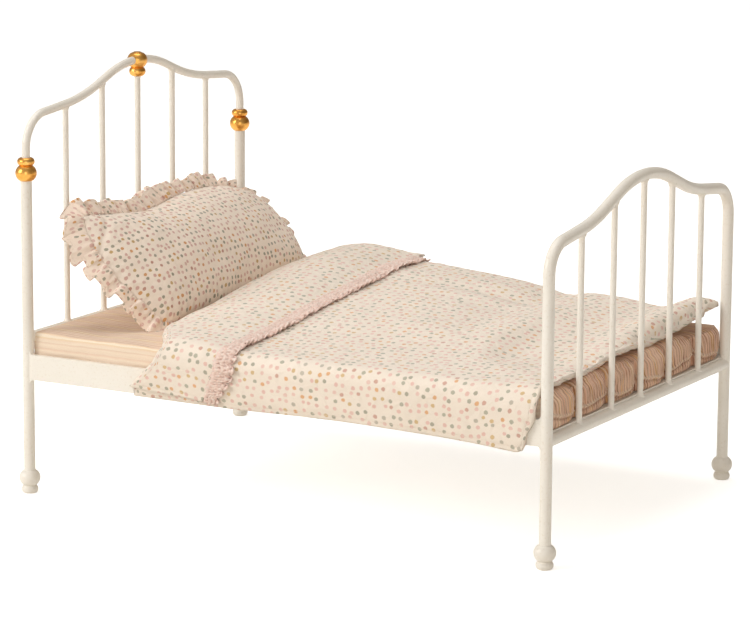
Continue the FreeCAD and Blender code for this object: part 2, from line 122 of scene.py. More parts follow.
def thick_sheet(name, mid, thick, uv, attrs=None, flip=1.0, keep=None):
    """A closed sheet: mid (n, m, 3) is its middle surface, thick (n, m) its thickness, uv (n, m, 2) in mm."""
    n, m = mid.shape[:2]
    nor = grid_normals(mid) * flip
    top = mid + nor * thick[..., None] / 2
    low = mid - nor * thick[..., None] / 2
    count = n * m
    ids = np.arange(count).reshape(n, m)
    cells = np.ones((n - 1, m - 1), bool) if keep is None else keep
    faces = []
    a, b, c, d = ids[:-1, :-1], ids[1:, :-1], ids[1:, 1:], ids[:-1, 1:]
    up = np.stack([a[cells], b[cells], c[cells], d[cells]], 1)
    down = np.stack([d[cells], c[cells], b[cells], a[cells]], 1) + count
    if flip < 0:
        up, down = up[:, ::-1], down[:, ::-1]
    faces = [tuple(f) for f in up] + [tuple(f) for f in down]
    padded = np.zeros((n + 1, m + 1), bool)
    padded[1:-1, 1:-1] = cells
    for i in range(n):  # walls between a kept cell and a missing one
        for j in range(m - 1):
            lo, hi = padded[i, j + 1], padded[i + 1, j + 1]
            if lo != hi:
                p, q = ids[i, j], ids[i, j + 1]
                f = (p, q, q + count, p + count) if hi else (q, p, p + count, q + count)
                faces.append(f if flip > 0 else f[::-1])
    for i in range(n - 1):
        for j in range(m):
            lo, hi = padded[i + 1, j], padded[i + 1, j + 1]
            if lo != hi:
                p, q = ids[i, j], ids[i + 1, j]
                f = (q, p, p + count, q + count) if hi else (p, q, q + count, p + count)
                faces.append(f if flip > 0 else f[::-1])
    verts = np.concatenate([top.reshape(-1, 3), low.reshape(-1, 3)])
    uvs = np.concatenate([uv.reshape(-1, 2), uv.reshape(-1, 2) + [3.1, 7.7]])
    extra = {k: np.concatenate([v.ravel(), v.ravel()]) for k, v in (attrs or {}).items()}
    return new_mesh(name, verts, faces, uvs, extra)


# ---- camera, floor and light --------------------------------------------------------------------
scene = bpy.context.scene
cam_data = bpy.data.cameras.new("view")
cam_data.lens = 172.19
cam_data.sensor_width = 36.0
cam_data.sensor_fit = "HORIZONTAL"
cam_data.clip_start, cam_data.clip_end = 0.05, 50.0
cam = bpy.data.objects.new("view", cam_data)
scene.collection.objects.link(cam)
az, el, roll = (math.radians(v) for v in (29.0887, 11.1989, 0.3639))
back = Vector((math.sin(az) * math.cos(el), -math.cos(az) * math.cos(el), math.sin(el)))
right = Vector((math.cos(az), math.sin(az), 0))
up = back.cross(right)
r2 = right * math.cos(roll) + up * math.sin(roll)
u2 = -right * math.sin(roll) + up * math.cos(roll)
turn = Matrix((r2, u2, back)).transposed().to_4x4()
cam.matrix_world = Matrix.Translation((0.80858, -1.45863, 0.41447)) @ turn
scene.camera = cam

scene.view_settings.view_transform = "Standard"
scene.view_settings.look = "None"

world = bpy.data.worlds.new("studio")
scene.world = world
world.use_nodes = True
wn, wl = world.node_tree.nodes, world.node_tree.links
wn.clear()
w_out = wn.new("ShaderNodeOutputWorld")
w_bg = wn.new("ShaderNodeBackground")
w_co = wn.new("ShaderNodeTexCoord")
w_sep = wn.new("ShaderNodeSeparateXYZ")
w_ramp = wn.new("ShaderNodeValToRGB")
wl.new(w_co.outputs["Generated"], w_sep.inputs[0])
w_map = wn.new("ShaderNodeMapRange")
w_map.inputs["From Min"].default_value = -1.0
w_map.inputs["From Max"].default_value = 1.0
w_add = wn.new("ShaderNodeVectorMath")
w_add.operation = "DOT_PRODUCT"
w_add.inputs[1].default_value = (-0.62, -0.62, 0.48)
wl.new(w_co.outputs["Generated"], w_add.inputs[0])
wl.new(w_add.outputs["Value"], w_map.inputs["Value"])
wl.new(w_map.outputs["Result"], w_ramp.inputs["Fac"])
r = w_ramp.color_ramp
r.elements[0].position, r.elements[0].color = 0.10, (0.34, 0.29, 0.24, 1)
r.elements[1].position, r.elements[1].color = 0.95, (1.0, 0.98, 0.95, 1)
e = r.elements.new(0.5)
e.color = (0.62, 0.57, 0.51, 1)
wl.new(w_ramp.outputs["Color"], w_bg.inputs["Color"])
w_bg.inputs["Strength"].default_value = 0.62
wl.new(w_bg.outputs[0], w_out.inputs[0])


def area(name, loc, target, size, power, color):
    d = bpy.data.lights.new(name, "AREA")
    d.shape, d.size, d.energy, d.color = "DISK", size, power, color
    o = bpy.data.objects.new(name, d)
    scene.collection.objects.link(o)
    o.location = loc
    o.rotation_euler = (Vector(target) - Vector(loc)).to_track_quat("-Z", "Y").to_euler()
    return o


area("key", (-1.3, -1.5, 0.95), (0, 0, 0.09), 0.9, 16.0, (1.0, 0.98, 0.96))
area("top", (-0.2, 0.1, 1.7), (0, 0, 0.05), 1.1, 9.0, (1.0, 0.985, 0.97))
area("front", (0.9, -1.6, 0.5), (0, 0, 0.08), 0.8, 4.4, (1.0, 0.98, 0.96))


# ---- node materials -----------------------------------------------------------------------------
class Mat:
    """A small wrapper for writing node materials."""

    def __init__(self, name):
        self.m = bpy.data.materials.new(name)
        self.m.use_nodes = True
        self.t = self.m.node_tree
        self.t.nodes.clear()
        self.out = self.t.nodes.new("ShaderNodeOutputMaterial")
        self.bsdf = self.t.nodes.new("ShaderNodeBsdfPrincipled")
        self.link(self.bsdf.outputs[0], self.out.inputs[0])

    def node(self, kind, **kw):
        n = self.t.nodes.new("ShaderNode" + kind)
        for k, v in kw.items():
            setattr(n, k, v)
        return n

    def link(self, a, b):
        self.t.links.new(a, b)

    def put(self, socket, value):
        if hasattr(value, "is_output"):
            self.link(value, socket)
        else:
            socket.default_value = value

    def math(self, op, a, b=0.0, c=0.0, clamp=False):
        n = self.node("Math", operation=op, use_clamp=clamp)
        self.put(n.inputs[0], a)
        self.put(n.inputs[1], b)
        self.put(n.inputs[2], c)
        return n.outputs[0]

    def noise(self, vec, scale, detail=2.0, rough=0.5, dims="3D", dist=0.0):
        n = self.node("TexNoise", noise_dimensions=dims)
        if vec is not None:
            self.link(vec, n.inputs["Vector"])
        n.inputs["Scale"].default_value = scale
        n.inputs["Detail"].default_value = detail
        n.inputs["Roughness"].default_value = rough
        n.inputs["Distortion"].default_value = dist
        return n

    def ramp(self, fac, stops, mode="LINEAR"):
        n = self.node("ValToRGB")
        self.link(fac, n.inputs[0])
        cr = n.color_ramp
        cr.interpolation = mode
        while len(cr.elements) > 1:
            cr.elements.remove(cr.elements[0])
        cr.elements[0].position = stops[0][0]
        cr.elements[0].color = rgb(stops[0][1])
        for pos, col in stops[1:]:
            el_ = cr.elements.new(pos)
            el_.color = rgb(col)
        return n.outputs[0]

    def mix(self, fac, a, b, kind="MIX"):
        n = self.node("Mix", data_type="RGBA", blend_type=kind)
        self.put(n.inputs[0], fac)
        self.put(n.inputs[6], a if hasattr(a, "is_output") else rgb(a))
        self.put(n.inputs[7], b if hasattr(b, "is_output") else rgb(b))
        return n.outputs[2]

    def bump(self, height, strength, distance, normal=None):
        n = self.node("Bump")
        n.inputs["Strength"].default_value = strength
        n.inputs["Distance"].default_value = distance
        self.link(height, n.inputs["Height"])
        if normal is not None:
            self.link(normal, n.inputs["Normal"])
        return n.outputs[0]

    def set(self, **kw):
        for k, v in kw.items():
            self.put(self.bsdf.inputs[k.replace("_", " ")], v)


def rgb(c):
    """An sRGB colour (0 to 255) as scene linear."""
    if len(c) == 4:
        return c
    return tuple(((v / 255.0) / 12.92 if v / 255.0 <= 0.04045 else ((v / 255.0 + 0.055) / 1.055) ** 2.4) for v in c) + (1.0,)


def paint_material():
    m = Mat("cream_enamel")
    co = m.node("TexCoord").outputs["Object"]
    cloud = m.noise(co, 28.0, 3.0, 0.55).outputs["Fac"]
    speck = m.noise(co, 900.0, 2.0, 0.6).outputs["Fac"]
    base = m.ramp(cloud, [(0.30, (237, 230, 218)), (0.55, (242, 237, 227)), (0.75, (245, 241, 233))])
    fleck = m.ramp(speck, [(0.30, (226, 213, 193)), (0.42, (244, 239, 229)), (1.0, (247, 243, 235))])
    col = m.mix(0.35, base, fleck, "MIX")
    # painted shade: the paint is multiplied darker where the surface is hollow (low pointiness), in inner corners and
    # where parts join
    edge = m.node("NewGeometry").outputs["Pointiness"]
    hollow_shade = m.ramp(edge, [(0.0, (214, 196, 170)), (0.49, (255, 255, 255)), (1.0, (255, 255, 255))])
    col = m.mix(0.55, col, hollow_shade, "MULTIPLY")
    peel = m.noise(co, 420.0, 2.0, 0.5).outputs["Fac"]
    lump = m.noise(co, 60.0, 2.0, 0.5).outputs["Fac"]
    h = m.math("ADD", m.math("MULTIPLY", peel, 0.35), m.math("MULTIPLY", lump, 1.0))
    rough = m.math("ADD", m.math("MULTIPLY", speck, 0.14), 0.30)
    m.set(Base_Color=col, Roughness=rough, Normal=m.bump(h, 0.28, 0.0006), Coat_Weight=0.25, Coat_Roughness=0.22, IOR=1.48)
    return m.m


def gilt_material():
    m = Mat("gilt")
    co = m.node("TexCoord").outputs["Object"]
    cloud = m.noise(co, 160.0, 3.0, 0.6).outputs["Fac"]
    fine = m.noise(co, 1400.0, 2.0, 0.6).outputs["Fac"]
    col = m.ramp(cloud, [(0.30, (206, 142, 62)), (0.55, (228, 168, 84)), (0.8, (240, 190, 112))])
    rough = m.math("ADD", m.math("MULTIPLY", cloud, 0.16), 0.23)
    m.set(Base_Color=col, Metallic=1.0, Roughness=rough, Normal=m.bump(m.math("ADD", cloud, m.math("MULTIPLY", fine, 0.5)), 0.4, 0.0004))
    return m.m


def dot_cloth(name, ground, pitch=4.2, dot=1.12, stitch=True, dot_shade=0.0):
    """Cotton printed with small round dots in soft colours, with a plain weave. Coordinates are the cloth's
    own, in millimetres."""
    m = Mat(name)
    uv = m.node("UVMap", uv_map="cloth").outputs[0]
    wob = m.noise(uv, 0.9, 2.0, 0.5, "2D")
    shift = m.node("VectorMath", operation="MULTIPLY_ADD")
    m.link(wob.outputs["Color"], shift.inputs[0])
    shift.inputs[1].default_value = (0.5, 0.5, 0)
    m.link(uv, shift.inputs[2])
    vor = m.node("TexVoronoi", voronoi_dimensions="2D", feature="F1")
    vor.inputs["Scale"].default_value = 1.0 / pitch
    vor.inputs["Randomness"].default_value = 0.56
    m.link(shift.outputs[0], vor.inputs["Vector"])
    sep = m.node("SeparateColor")
    m.link(vor.outputs["Color"], sep.inputs[0])
    which, size = sep.outputs[0], sep.outputs[1]
    edge_noise = m.noise(uv, 2.6, 2.0, 0.6, "2D").outputs["Fac"]
    radius = m.math("ADD", m.math("MULTIPLY", size, 0.035), dot / pitch - 0.018)
    radius = m.math("ADD", radius, m.math("MULTIPLY", m.math("SUBTRACT", edge_noise, 0.5), 0.11))
    inside = m.math("SUBTRACT", radius, vor.outputs["Distance"])
    mask = m.math("MULTIPLY", inside, 17.0, clamp=True)
    pick = m.ramp(which, [
        (0.0, (233, 190, 179)), (0.19, (170, 169, 149)), (0.31, (228, 168, 106)), (0.41, (236, 200, 188)),
        (0.59, (188, 180, 164)), (0.67, (208, 158, 140)), (0.75, (214, 180, 120)), (0.83, (230, 186, 174)),
        (0.92, (162, 160, 140))], "CONSTANT")
    # painted shade: dot_shade mixes the dots toward dark brown and makes them stronger, as dots seen in shadow
    pick = m.mix(dot_shade, pick, (122, 84, 62))
    strength = m.math("ADD", m.math("MULTIPLY", m.noise(uv, 5.0, 2.0, 0.7, "2D").outputs["Fac"], 0.5), 0.56 + dot_shade)
    g1 = m.noise(uv, 0.03, 3.0, 0.5, "2D").outputs["Fac"]
    warm_ground = m.ramp(g1, [(0.3, ground), (0.7, tuple(min(255, v + 4) for v in ground))])
    # plain weave: two crossed sets of threads
    sx = m.node("SeparateXYZ")
    m.link(uv, sx.inputs[0])
    wx = m.math("SINE", m.math("MULTIPLY", sx.outputs[0], 2 * math.pi / 0.42))
    wy = m.math("SINE", m.math("MULTIPLY", sx.outputs[1], 2 * math.pi / 0.42))
    weave = m.math("MULTIPLY", wx, wy)
    slub = m.noise(uv, 7.0, 2.0, 0.7, "2D").outputs["Fac"]
    tint = m.ramp(slub, [(0.25, (233, 222, 212)), (0.6, (255, 255, 255))])
    col = m.mix(m.math("MULTIPLY", mask, strength), warm_ground, pick)
    col = m.mix(0.55, col, tint, "MULTIPLY")
    height = m.math("ADD", m.math("MULTIPLY", weave, 0.25), m.math("MULTIPLY", slub, 0.9))
    nrm = m.bump(height, 0.35, 0.00012)
    crumple = m.noise(uv, 0.16, 4.0, 0.55, "2D", 0.6).outputs["Fac"]
    nrm = m.bump(crumple, 0.55, 0.0016, nrm)
    if stitch:
        # a run of small stitches 2.6 mm inside each hem
        d = m.node("Attribute", attribute_name="hem").outputs["Fac"]
        along = m.node("Attribute", attribute_name="run").outputs["Fac"]
        line = m.math("SUBTRACT", 1.0, m.math("MULTIPLY", m.math("ABSOLUTE", m.math("SUBTRACT", d, 2.6)), 2.6), clamp=True)
        dash = m.math("GREATER_THAN", m.math("SINE", m.math("MULTIPLY", along, 2 * math.pi / 2.1)), -0.35)
        thread = m.math("MULTIPLY", line, dash)
        nrm = m.bump(m.math("SUBTRACT", m.math("MULTIPLY", thread, 0.6), line), 0.55, 0.0004, nrm)
        # painted shade: the colour is mixed a little darker along the stitched groove
        col = m.mix(m.math("MULTIPLY", line, 0.18), col, (206, 172, 146))
        col = m.mix(m.math("MULTIPLY", thread, 0.55), col, (248, 236, 220))
    m.set(Base_Color=col, Roughness=0.88, Normal=nrm, Sheen_Weight=0.25, Sheen_Roughness=0.5, Specular_IOR_Level=0.2)
    return m.m


def stripe_cloth():
    """Woven ticking: fine lengthwise stripes in cream, dusty pink, ochre and brown, with a ribbed weave."""
    m = Mat("ticking")
    uv = m.node("UVMap", uv_map="cloth").outputs[0]
    sx = m.node("SeparateXYZ")
    m.link(uv, sx.inputs[0])
    wav = m.noise(uv, 0.11, 2.0, 0.5, "2D").outputs["Fac"]
    across = m.math("ADD", sx.outputs[0], m.math("MULTIPLY", wav, 0.9))
    # a repeat of 11 mm, with lines inside it
    rep = m.math("FRACT", m.math("DIVIDE", across, 11.0))
    broad = m.ramp(rep, [
        (0.0, (238, 214, 190)), (0.10, (243, 224, 202)), (0.16, (226, 188, 160)), (0.20, (243, 224, 202)),
        (0.30, (236, 210, 186)), (0.38, (232, 194, 130)), (0.42, (246, 230, 206)), (0.50, (246, 232, 210)),
        (0.54, (230, 190, 124)), (0.58, (236, 212, 190)), (0.70, (232, 202, 178)), (0.80, (244, 226, 204)),
        (0.90, (226, 184, 156)), (0.94, (238, 214, 192)), (1.0, (238, 214, 190))])
    gathered = m.node("Attribute", attribute_name="gathered").outputs["Fac"]
    near = m.node("Attribute", attribute_name="near").outputs["Fac"]
    # painted light: on the near side wall ('near') the stripes are mixed toward pale cream and their dark lines are
    # weakened, so that wall reads as lit
    broad = m.mix(m.math("MULTIPLY", near, 0.52), broad, (255, 242, 222))
    fine = m.math("SINE", m.math("MULTIPLY", across, 2 * math.pi / 2.5))
    stretch = m.node("Mapping")
    stretch.inputs["Scale"].default_value = (3.2, 0.10, 1)
    m.link(uv, stretch.inputs["Vector"])
    streak = m.noise(stretch.outputs[0], 1.0, 3.0, 0.6, "2D").outputs["Fac"]
    dark = m.math("MULTIPLY", m.math("ADD", m.math("MULTIPLY", fine, 0.5), 0.5), m.ramp(streak, [(0.35, (0, 0, 0)), (0.65, (255, 255, 255))]))
    # painted shade: 'gathered' (the foot end face) strengthens the dark lines, as shade on the foot face and in its rib
    # grooves
    col = m.mix(m.math("MULTIPLY", dark, m.math("SUBTRACT", m.math("ADD", m.math("MULTIPLY", gathered, 0.60), 0.25), m.math("MULTIPLY", near, 0.2))), broad, (140, 84, 62))
    pale = m.math("MULTIPLY", m.math("SUBTRACT", 0.5, m.math("MULTIPLY", fine, 0.5)), m.ramp(streak, [(0.3, (255, 255, 255)), (0.6, (0, 0, 0))]))
    col = m.mix(m.math("MULTIPLY", pale, 0.45), col, (247, 222, 198))
    # painted shade: the foot end is also multiplied a little darker
    col = m.mix(m.math("MULTIPLY", gathered, 0.8), col, (255, 238, 230), "MULTIPLY")
    wv = m.math("SINE", m.math("MULTIPLY", sx.outputs[1], 2 * math.pi / 0.6))
    slub = m.noise(uv, 4.0, 3.0, 0.7, "2D").outputs["Fac"]
    tint = m.ramp(slub, [(0.25, (226, 208, 194)), (0.6, (255, 255, 255))])
    col = m.mix(0.6, col, tint, "MULTIPLY")
    d = m.node("Attribute", attribute_name="sewn").outputs["Fac"]
    line = m.math("SUBTRACT", 1.25, m.math("MULTIPLY", m.math("ABSOLUTE", d), 1.15), clamp=True)
    along = m.node("Attribute", attribute_name="run").outputs["Fac"]
    whip = m.math("SINE", m.math("MULTIPLY", m.math("ADD", along, m.math("MULTIPLY", d, 0.7)), 2 * math.pi / 2.3))
    thread = m.math("MULTIPLY", line, m.math("ADD", m.math("MULTIPLY", whip, 0.4), 0.6))
    # painted shade: a dark brown band on the dent just below the sewn edge, where the seam's ridge overhangs
    below = m.math("SUBTRACT", 1.0, m.math("MULTIPLY", m.math("ABSOLUTE", m.math("ADD", d, 1.6)), 0.9), clamp=True)
    col = m.mix(m.math("MULTIPLY", below, 0.5), col, (128, 84, 62))
    col = m.mix(m.math("MULTIPLY", thread, 0.8), col, (248, 226, 202))
    h = m.math("ADD", m.math("MULTIPLY", fine, 0.5), m.math("ADD", m.math("MULTIPLY", wv, 0.12), m.math("MULTIPLY", slub, 0.8)))
    nrm = m.bump(h, 0.5, 0.0002)
    nrm = m.bump(m.math("MULTIPLY", thread, 1.0), 0.9, 0.0006, nrm)
    m.set(Base_Color=col, Roughness=0.9, Normal=nrm, Sheen_Weight=0.2, Sheen_Roughness=0.5, Specular_IOR_Level=0.2)
    return m.m


def crochet_cotton():
    m = Mat("crochet_cotton")
    uv = m.node("UVMap", uv_map="cloth").outputs[0]
    sx = m.node("SeparateXYZ")
    m.link(uv, sx.inputs[0])
    ply = m.math("SINE", m.math("MULTIPLY", m.math("ADD", sx.outputs[0], m.math("MULTIPLY", sx.outputs[1], 0.8)), 2 * math.pi / 0.45))
    patch = m.noise(uv, 0.8, 3.0, 0.6, "2D").outputs["Fac"]
    lace_shade = m.node("Attribute", attribute_name="lace_shade").outputs["Fac"]
    col = m.ramp(patch, [(0.3, (238, 205, 190)), (0.5, (248, 223, 210)), (0.75, (254, 240, 230))])
    # painted shade: darker pink-brown where lace_shade is high, in the gaps between knots and the scallop valleys
    col = m.mix(m.math("MULTIPLY", lace_shade, 0.66), col, (184, 128, 110))
    nrm = m.bump(m.math("ADD", ply, m.math("MULTIPLY", patch, 2.0)), 0.5, 0.00015)
    m.set(Base_Color=col, Roughness=0.85, Normal=nrm, Sheen_Weight=0.3, Sheen_Roughness=0.5, Specular_IOR_Level=0.2)
    return m.m


paint = paint_material()
gilt = gilt_material()
for name, node in nodes.items():
    if node.type != "MESH":
        continue
    use = gilt if name.startswith("finial") else paint
    node.data.materials.clear()
    node.data.materials.append(use)

# ---- mattress -----------------------------------------------------------------------------------
lo, hi = (v / MM for v in (np.array(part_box("mattress_cover")[0]), np.array(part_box("mattress_cover")[1])))
bars = sorted(sum(np.array([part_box(n)[0].y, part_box(n)[1].y])) / 2 / MM for n in nodes if n.startswith("foot_baluster"))
post_y = (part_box("foot_cross_rail")[1].y) / MM
noise_a, noise_b, noise_c = Noise(11), Noise(23), Noise(37)


def make_mattress():
    x0, x1, y0, y1, z0, z1 = lo[0] - 3.8, hi[0], lo[1], hi[1], lo[2], hi[2]
    nx, ny, nz = 104, int((y1 - y0) / 0.52), 17
    index, verts, faces = {}, [], []

    def vid(i, j, k):
        key = (i, j, k)
        if key not in index:
            index[key] = len(verts)
            verts.append((i / nx, j / ny, k / nz))
        return index[key]

    for i in range(nx):
        for j in range(ny):
            faces.append((vid(i, j, nz), vid(i + 1, j, nz), vid(i + 1, j + 1, nz), vid(i, j + 1, nz)))
            faces.append((vid(i, j + 1, 0), vid(i + 1, j + 1, 0), vid(i + 1, j, 0), vid(i, j, 0)))
    for i in range(nx):
        for k in range(nz):
            faces.append((vid(i, 0, k), vid(i + 1, 0, k), vid(i + 1, 0, k + 1), vid(i, 0, k + 1)))
            faces.append((vid(i, ny, k + 1), vid(i + 1, ny, k + 1), vid(i + 1, ny, k), vid(i, ny, k)))
    for j in range(ny):
        for k in range(nz):
            faces.append((vid(nx, j, k), vid(nx, j + 1, k), vid(nx, j + 1, k + 1), vid(nx, j, k + 1)))
            faces.append((vid(0, j, k + 1), vid(0, j + 1, k + 1), vid(0, j + 1, k), vid(0, j, k)))
    t = np.array(verts)
    # closer rows of points near the two ends, where the cloth turns over
    tx = t[:, 0]
    tx = tx - 0.115 * np.sin(2 * np.pi * tx) / (2 * np.pi) * 2
    x, y, z = x0 + tx * (x1 - x0), y0 + t[:, 1] * (y1 - y0), z0 + t[:, 2] * (z1 - z0)
    on_top, on_low = t[:, 2] > 0.999, t[:, 2] < 0.001
    side = (t[:, 1] < 0.001) | (t[:, 1] > 0.999)
    end = ((t[:, 0] < 0.001) | (t[:, 0] > 0.999)) & ~side
    foot_face = t[:, 0] > 0.999
    # the cloth's own coordinates: across the stripes, and along them
    u, v = y.copy(), x.copy()
    u = np.where(side & (t[:, 1] < 0.5), y0 - (z1 - z), u)
    u = np.where(side & (t[:, 1] > 0.5), y1 + (z1 - z), u)
    v = np.where(end & (t[:, 0] > 0.5), x1 + (z1 - z), v)
    v = np.where(end & (t[:, 0] < 0.5), x0 - (z1 - z), v)
    cx, cy, cz = (x0 + x1) / 2, (y0 + y1) / 2, (z0 + z1) / 2
    hx, hy, hz = (x1 - x0) / 2, (y1 - y0) / 2, (z1 - z0) / 2
    dz = z - cz
    # rounded edges: how far a point is from each side, in millimetres
    r_foot, r_low, r_head, r_long = 4.6, 1.3, 1.8, 2.4
    gx = np.where(x > cx, x1 - x, x - x0)
    gy = np.minimum(y - y0, y1 - y)
    rx = np.where(x > cx, np.where(dz > 0, r_foot, r_low), r_head)
    qx = np.clip(1 - gx / rx, 0, 1)
    qy = np.clip(1 - gy / r_long, 0, 1)
    cap = on_top | on_low
    X, Y, Z = x.copy(), y.copy(), z.copy()
    walls = ~cap
    sx_, sy_, sz_ = np.where(x > cx, 1.0, -1.0), np.where(y > cy, 1.0, -1.0), np.sign(dz)
    rise = np.abs(dz) / hz
    # each long edge is a quarter circle, half of it on the top or bottom and half on the wall
    ax, ay = np.radians(90 - 45 * qx), np.radians(90 - 45 * qy)
    X = X - np.where(cap & (qx > 0), sx_ * (gx * -1 + rx - rx * np.cos(ax)), 0)
    Y = Y - np.where(cap & (qy > 0), sy_ * (gy * -1 + r_long - r_long * np.cos(ay)), 0)
    Z = Z - np.where(cap, sz_ * (rx * (1 - np.sin(ax)) * (qx > 0) + r_long * (1 - np.sin(ay)) * (qy > 0)), 0)
    on_end, on_side = walls & (gx < 0.01), walls & (gy < 0.01)
    bx_, by_ = np.radians(45 * np.clip((rise * hz - (hz - rx)) / rx, 0, 1)), np.radians(45 * np.clip((rise * hz - (hz - r_long)) / r_long, 0, 1))
    X = X - np.where(on_end, sx_ * rx * (1 - np.cos(bx_)), 0)
    Y = Y - np.where(on_side, sy_ * r_long * (1 - np.cos(by_)), 0)
    fall = np.where(on_end, rx, r_long)
    fb = np.where(on_end, bx_, by_)
    raw = rise * hz
    Z = np.where(walls & (raw > hz - fall), cz + sz_ * (hz - fall + fall * np.sin(fb)), Z)
    # rounded upright corners
    ox, oy = np.clip(1 - gx / 2.4, 0, 1), np.clip(1 - gy / 2.4, 0, 1)
    both = np.minimum(ox, oy)
    X = X - np.where(x > cx, 0.8, 0.0) * both
    Y = Y - np.where(y > cy, 1, -1) * both * np.where(x > cx, 0.8, 0.0)
    # the foot end puffs out between the bars and pinches in at each of them
    stops = [-post_y] + list(bars) + [post_y]
    puff = np.zeros(len(t))
    bay = np.zeros(len(t))
    for n_, (a, b) in enumerate(zip(stops[:-1], stops[1:])):
        s_ = np.clip((Y + 0.8 * np.sin(z / 3.0) - a) / (b - a), 0, 1)
        inside = (Y >= a) & (Y < b)
        puff = np.where(inside, np.clip(1 - np.abs(2 * s_ - 1) ** 3.2, 0, 1) ** 0.8, puff)
        bay = np.where(inside, n_, bay)
    near_foot = ramp(x, x1 - 17, x1 - 1)
    body = np.clip(1 - (np.abs(dz + 1.5) / hz) ** 3.0, 0, 1) * 0.55 + 0.45
    body = np.where(dz < 0, np.maximum(body, 0.8), body)
    swell = 4.1 + 0.9 * np.sin(bay * 2.4 + 0.7)
    X = X + near_foot * body * (puff * swell - 1.0)
    Z = Z + on_top * near_foot * (puff - 0.75) * 2.3
    Z = Z - on_top * 1.9 * ramp(x, x1 - 30, x1 - 6) * ramp(y, 55, 82)
    Z = Z + on_top * 0.7 * ramp(x, x1 - 40, x1 - 12) * (puff - 0.4) * (1 - ramp(x, x1 - 12, x1 - 2))
    # soft crowns, sags and a loose cover
    inner = ramp(gx, 0, 22) * ramp(gy, 0, 22)
    calm = ramp(x, x0, x0 + 30) * 0.8 + 0.2
    Z = Z + on_top * (0.50 * noise_a.fbm(X / 34, Y / 30) + 0.20 * noise_b.fbm(X / 11, Y / 9) + 0.3 * inner) * calm
    Z = Z + on_top * 0.55 * ramp(x, x0 + 26, x0 + 2)
    bulge = 1 - rise**2
    Y = Y + np.where(side, np.where(y > cy, 1, -1) * (0.7 * bulge + 0.25 * noise_c.fbm(X / 18, Z / 8)), 0)
    X = X + np.where(end, np.where(x > cx, 1, -1) * 0.35 * noise_c.fbm(Y / 7, Z / 6), 0)
    # woven ribs stand up where the cloth is gathered at the foot end
    # 'gathered' also makes the ticking paint the foot end darker (painted shade)
    gathered = np.where(foot_face, 1.0, ramp(x, x1 - 16, x1 - 3) * on_top)
    across = y + 0.9 * noise_b.fbm(v / 9, y / 14, 2) * gathered
    rib = np.abs(np.sin(np.pi * across / 2.5)) ** 0.7 - 0.6
    X = X + foot_face * rib * 0.6
    Z = Z + np.where(on_top, gathered * rib * 0.34, 0)
    # the sewn edge runs round the sides a third of the way up
    seam_z = z0 + 5.2 + 0.8 * noise_b.fbm(u / 15, v / 23, 2) + np.where(foot_face, 3.4 * (0.45 - puff) + 1.2 + 1.3 * np.sin(y / 7.7 + 0.6), 0)
    seam = np.where(walls, z - seam_z, 9.0)
    ridge = np.exp(-((seam / 0.8) ** 2))
    dent = np.exp(-(((seam + 1.5) / 1.0) ** 2))
    outx = np.where(gx < 0.01, np.where(x > cx, 1.0, -1.0), 0.0) * walls
    outy = np.where(gy < 0.01, np.where(y > cy, 1.0, -1.0), 0.0) * walls
    X = X + outx * (ridge * 0.7 - dent * 0.8)
    Y = Y + outy * (ridge * 0.4 - dent * 0.3)
    Z = np.maximum(Z, z0)
    # the head end is let in round the two posts
    for corner_y in (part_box("head_post_front"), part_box("head_post_back")):
        px_, py_ = (corner_y[0].x + corner_y[1].x) / 2 / MM, (corner_y[0].y + corner_y[1].y) / 2 / MM
        rr = 2.95
        ddx, ddy = X - px_, Y - py_
        dist = np.maximum(np.hypot(ddx, ddy), 1e-6)
        push = np.clip(rr - dist, 0, None)
        X, Y = X + ddx / dist * push, Y + ddy / dist * push
    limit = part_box("foot_baluster_3")[0].x / MM
    for b in bars:
        X = np.where((np.abs(Y - b) < 2.2) & (X > limit - 0.1), limit - 0.1, X)
    run = np.where(side, x, y)
    # the 'near' attribute marks the near side wall, which the ticking paints lighter as if lit (painted light)
    obj = new_mesh("mattress_soft", np.stack([X, Y, Z], 1), faces, np.stack([u, v], 1),
                   {"sewn": seam, "run": run, "gathered": gathered, "near": (side & (t[:, 1] < 0.5)) * 1.0})
    obj.data.materials.append(stripe_cloth())
    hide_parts("mattress_cover", "mattress_filling")
    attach(obj, "mattress")
    return obj


mattress = make_mattress()

# ---- duvet --------------------------------------------------------------------------------------
d_lo, d_hi = (np.array(c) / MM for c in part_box("duvet"))
rail_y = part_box("side_rail_front")[0].y / MM
FAR_Y = d_hi[1] + 0.2
IN_Y = rail_y - 0.45  # inner face of the hanging side
top_far_main = curve([(-80, 88), (-60, 91.5), (-40, 94), (-21, 94.6), (-12, 93.3), (-4, 92.7), (7, 91.7), (18, 90.8), (30, 89.4), (40, 88.1), (51, 86.3),
                      (57, 85.6), (68, 87.7), (77, 86.6), (86, 85.9), (102, 83.6), (108, 83.7), (115, 85.6), (123, 90.8), (132, 92.2)], 3.0)
top_near_main = curve([(-80, 79.8), (-30, 80.4), (-10, 82.4), (30, 83.4), (80, 83.4), (100, 82.0), (116, 80.2), (132, 78.6)], 6.0)
top_far_flap = curve([(-92, 91), (-78, 95.0), (-66, 98.2), (-55, 99.9), (-40, 98.2), (-28, 96.0), (-20, 95.6)], 2.5)
top_near_flap = curve([(-90, 80.5), (-70, 82.2), (-50, 83.0), (-36, 82.6), (-25, 82.2)], 4.0)
foot_lift = curve([(-98, 80.4), (-88, 79.8), (-77, 78.5), (-48, 77.4), (-30, 78.4), (-20, 80.9), (-12, 80.6), (15, 78.7), (37, 77.7), (48, 79.4), (67, 79.0), (80, 79.6), (98, 80.0)], 3.0)
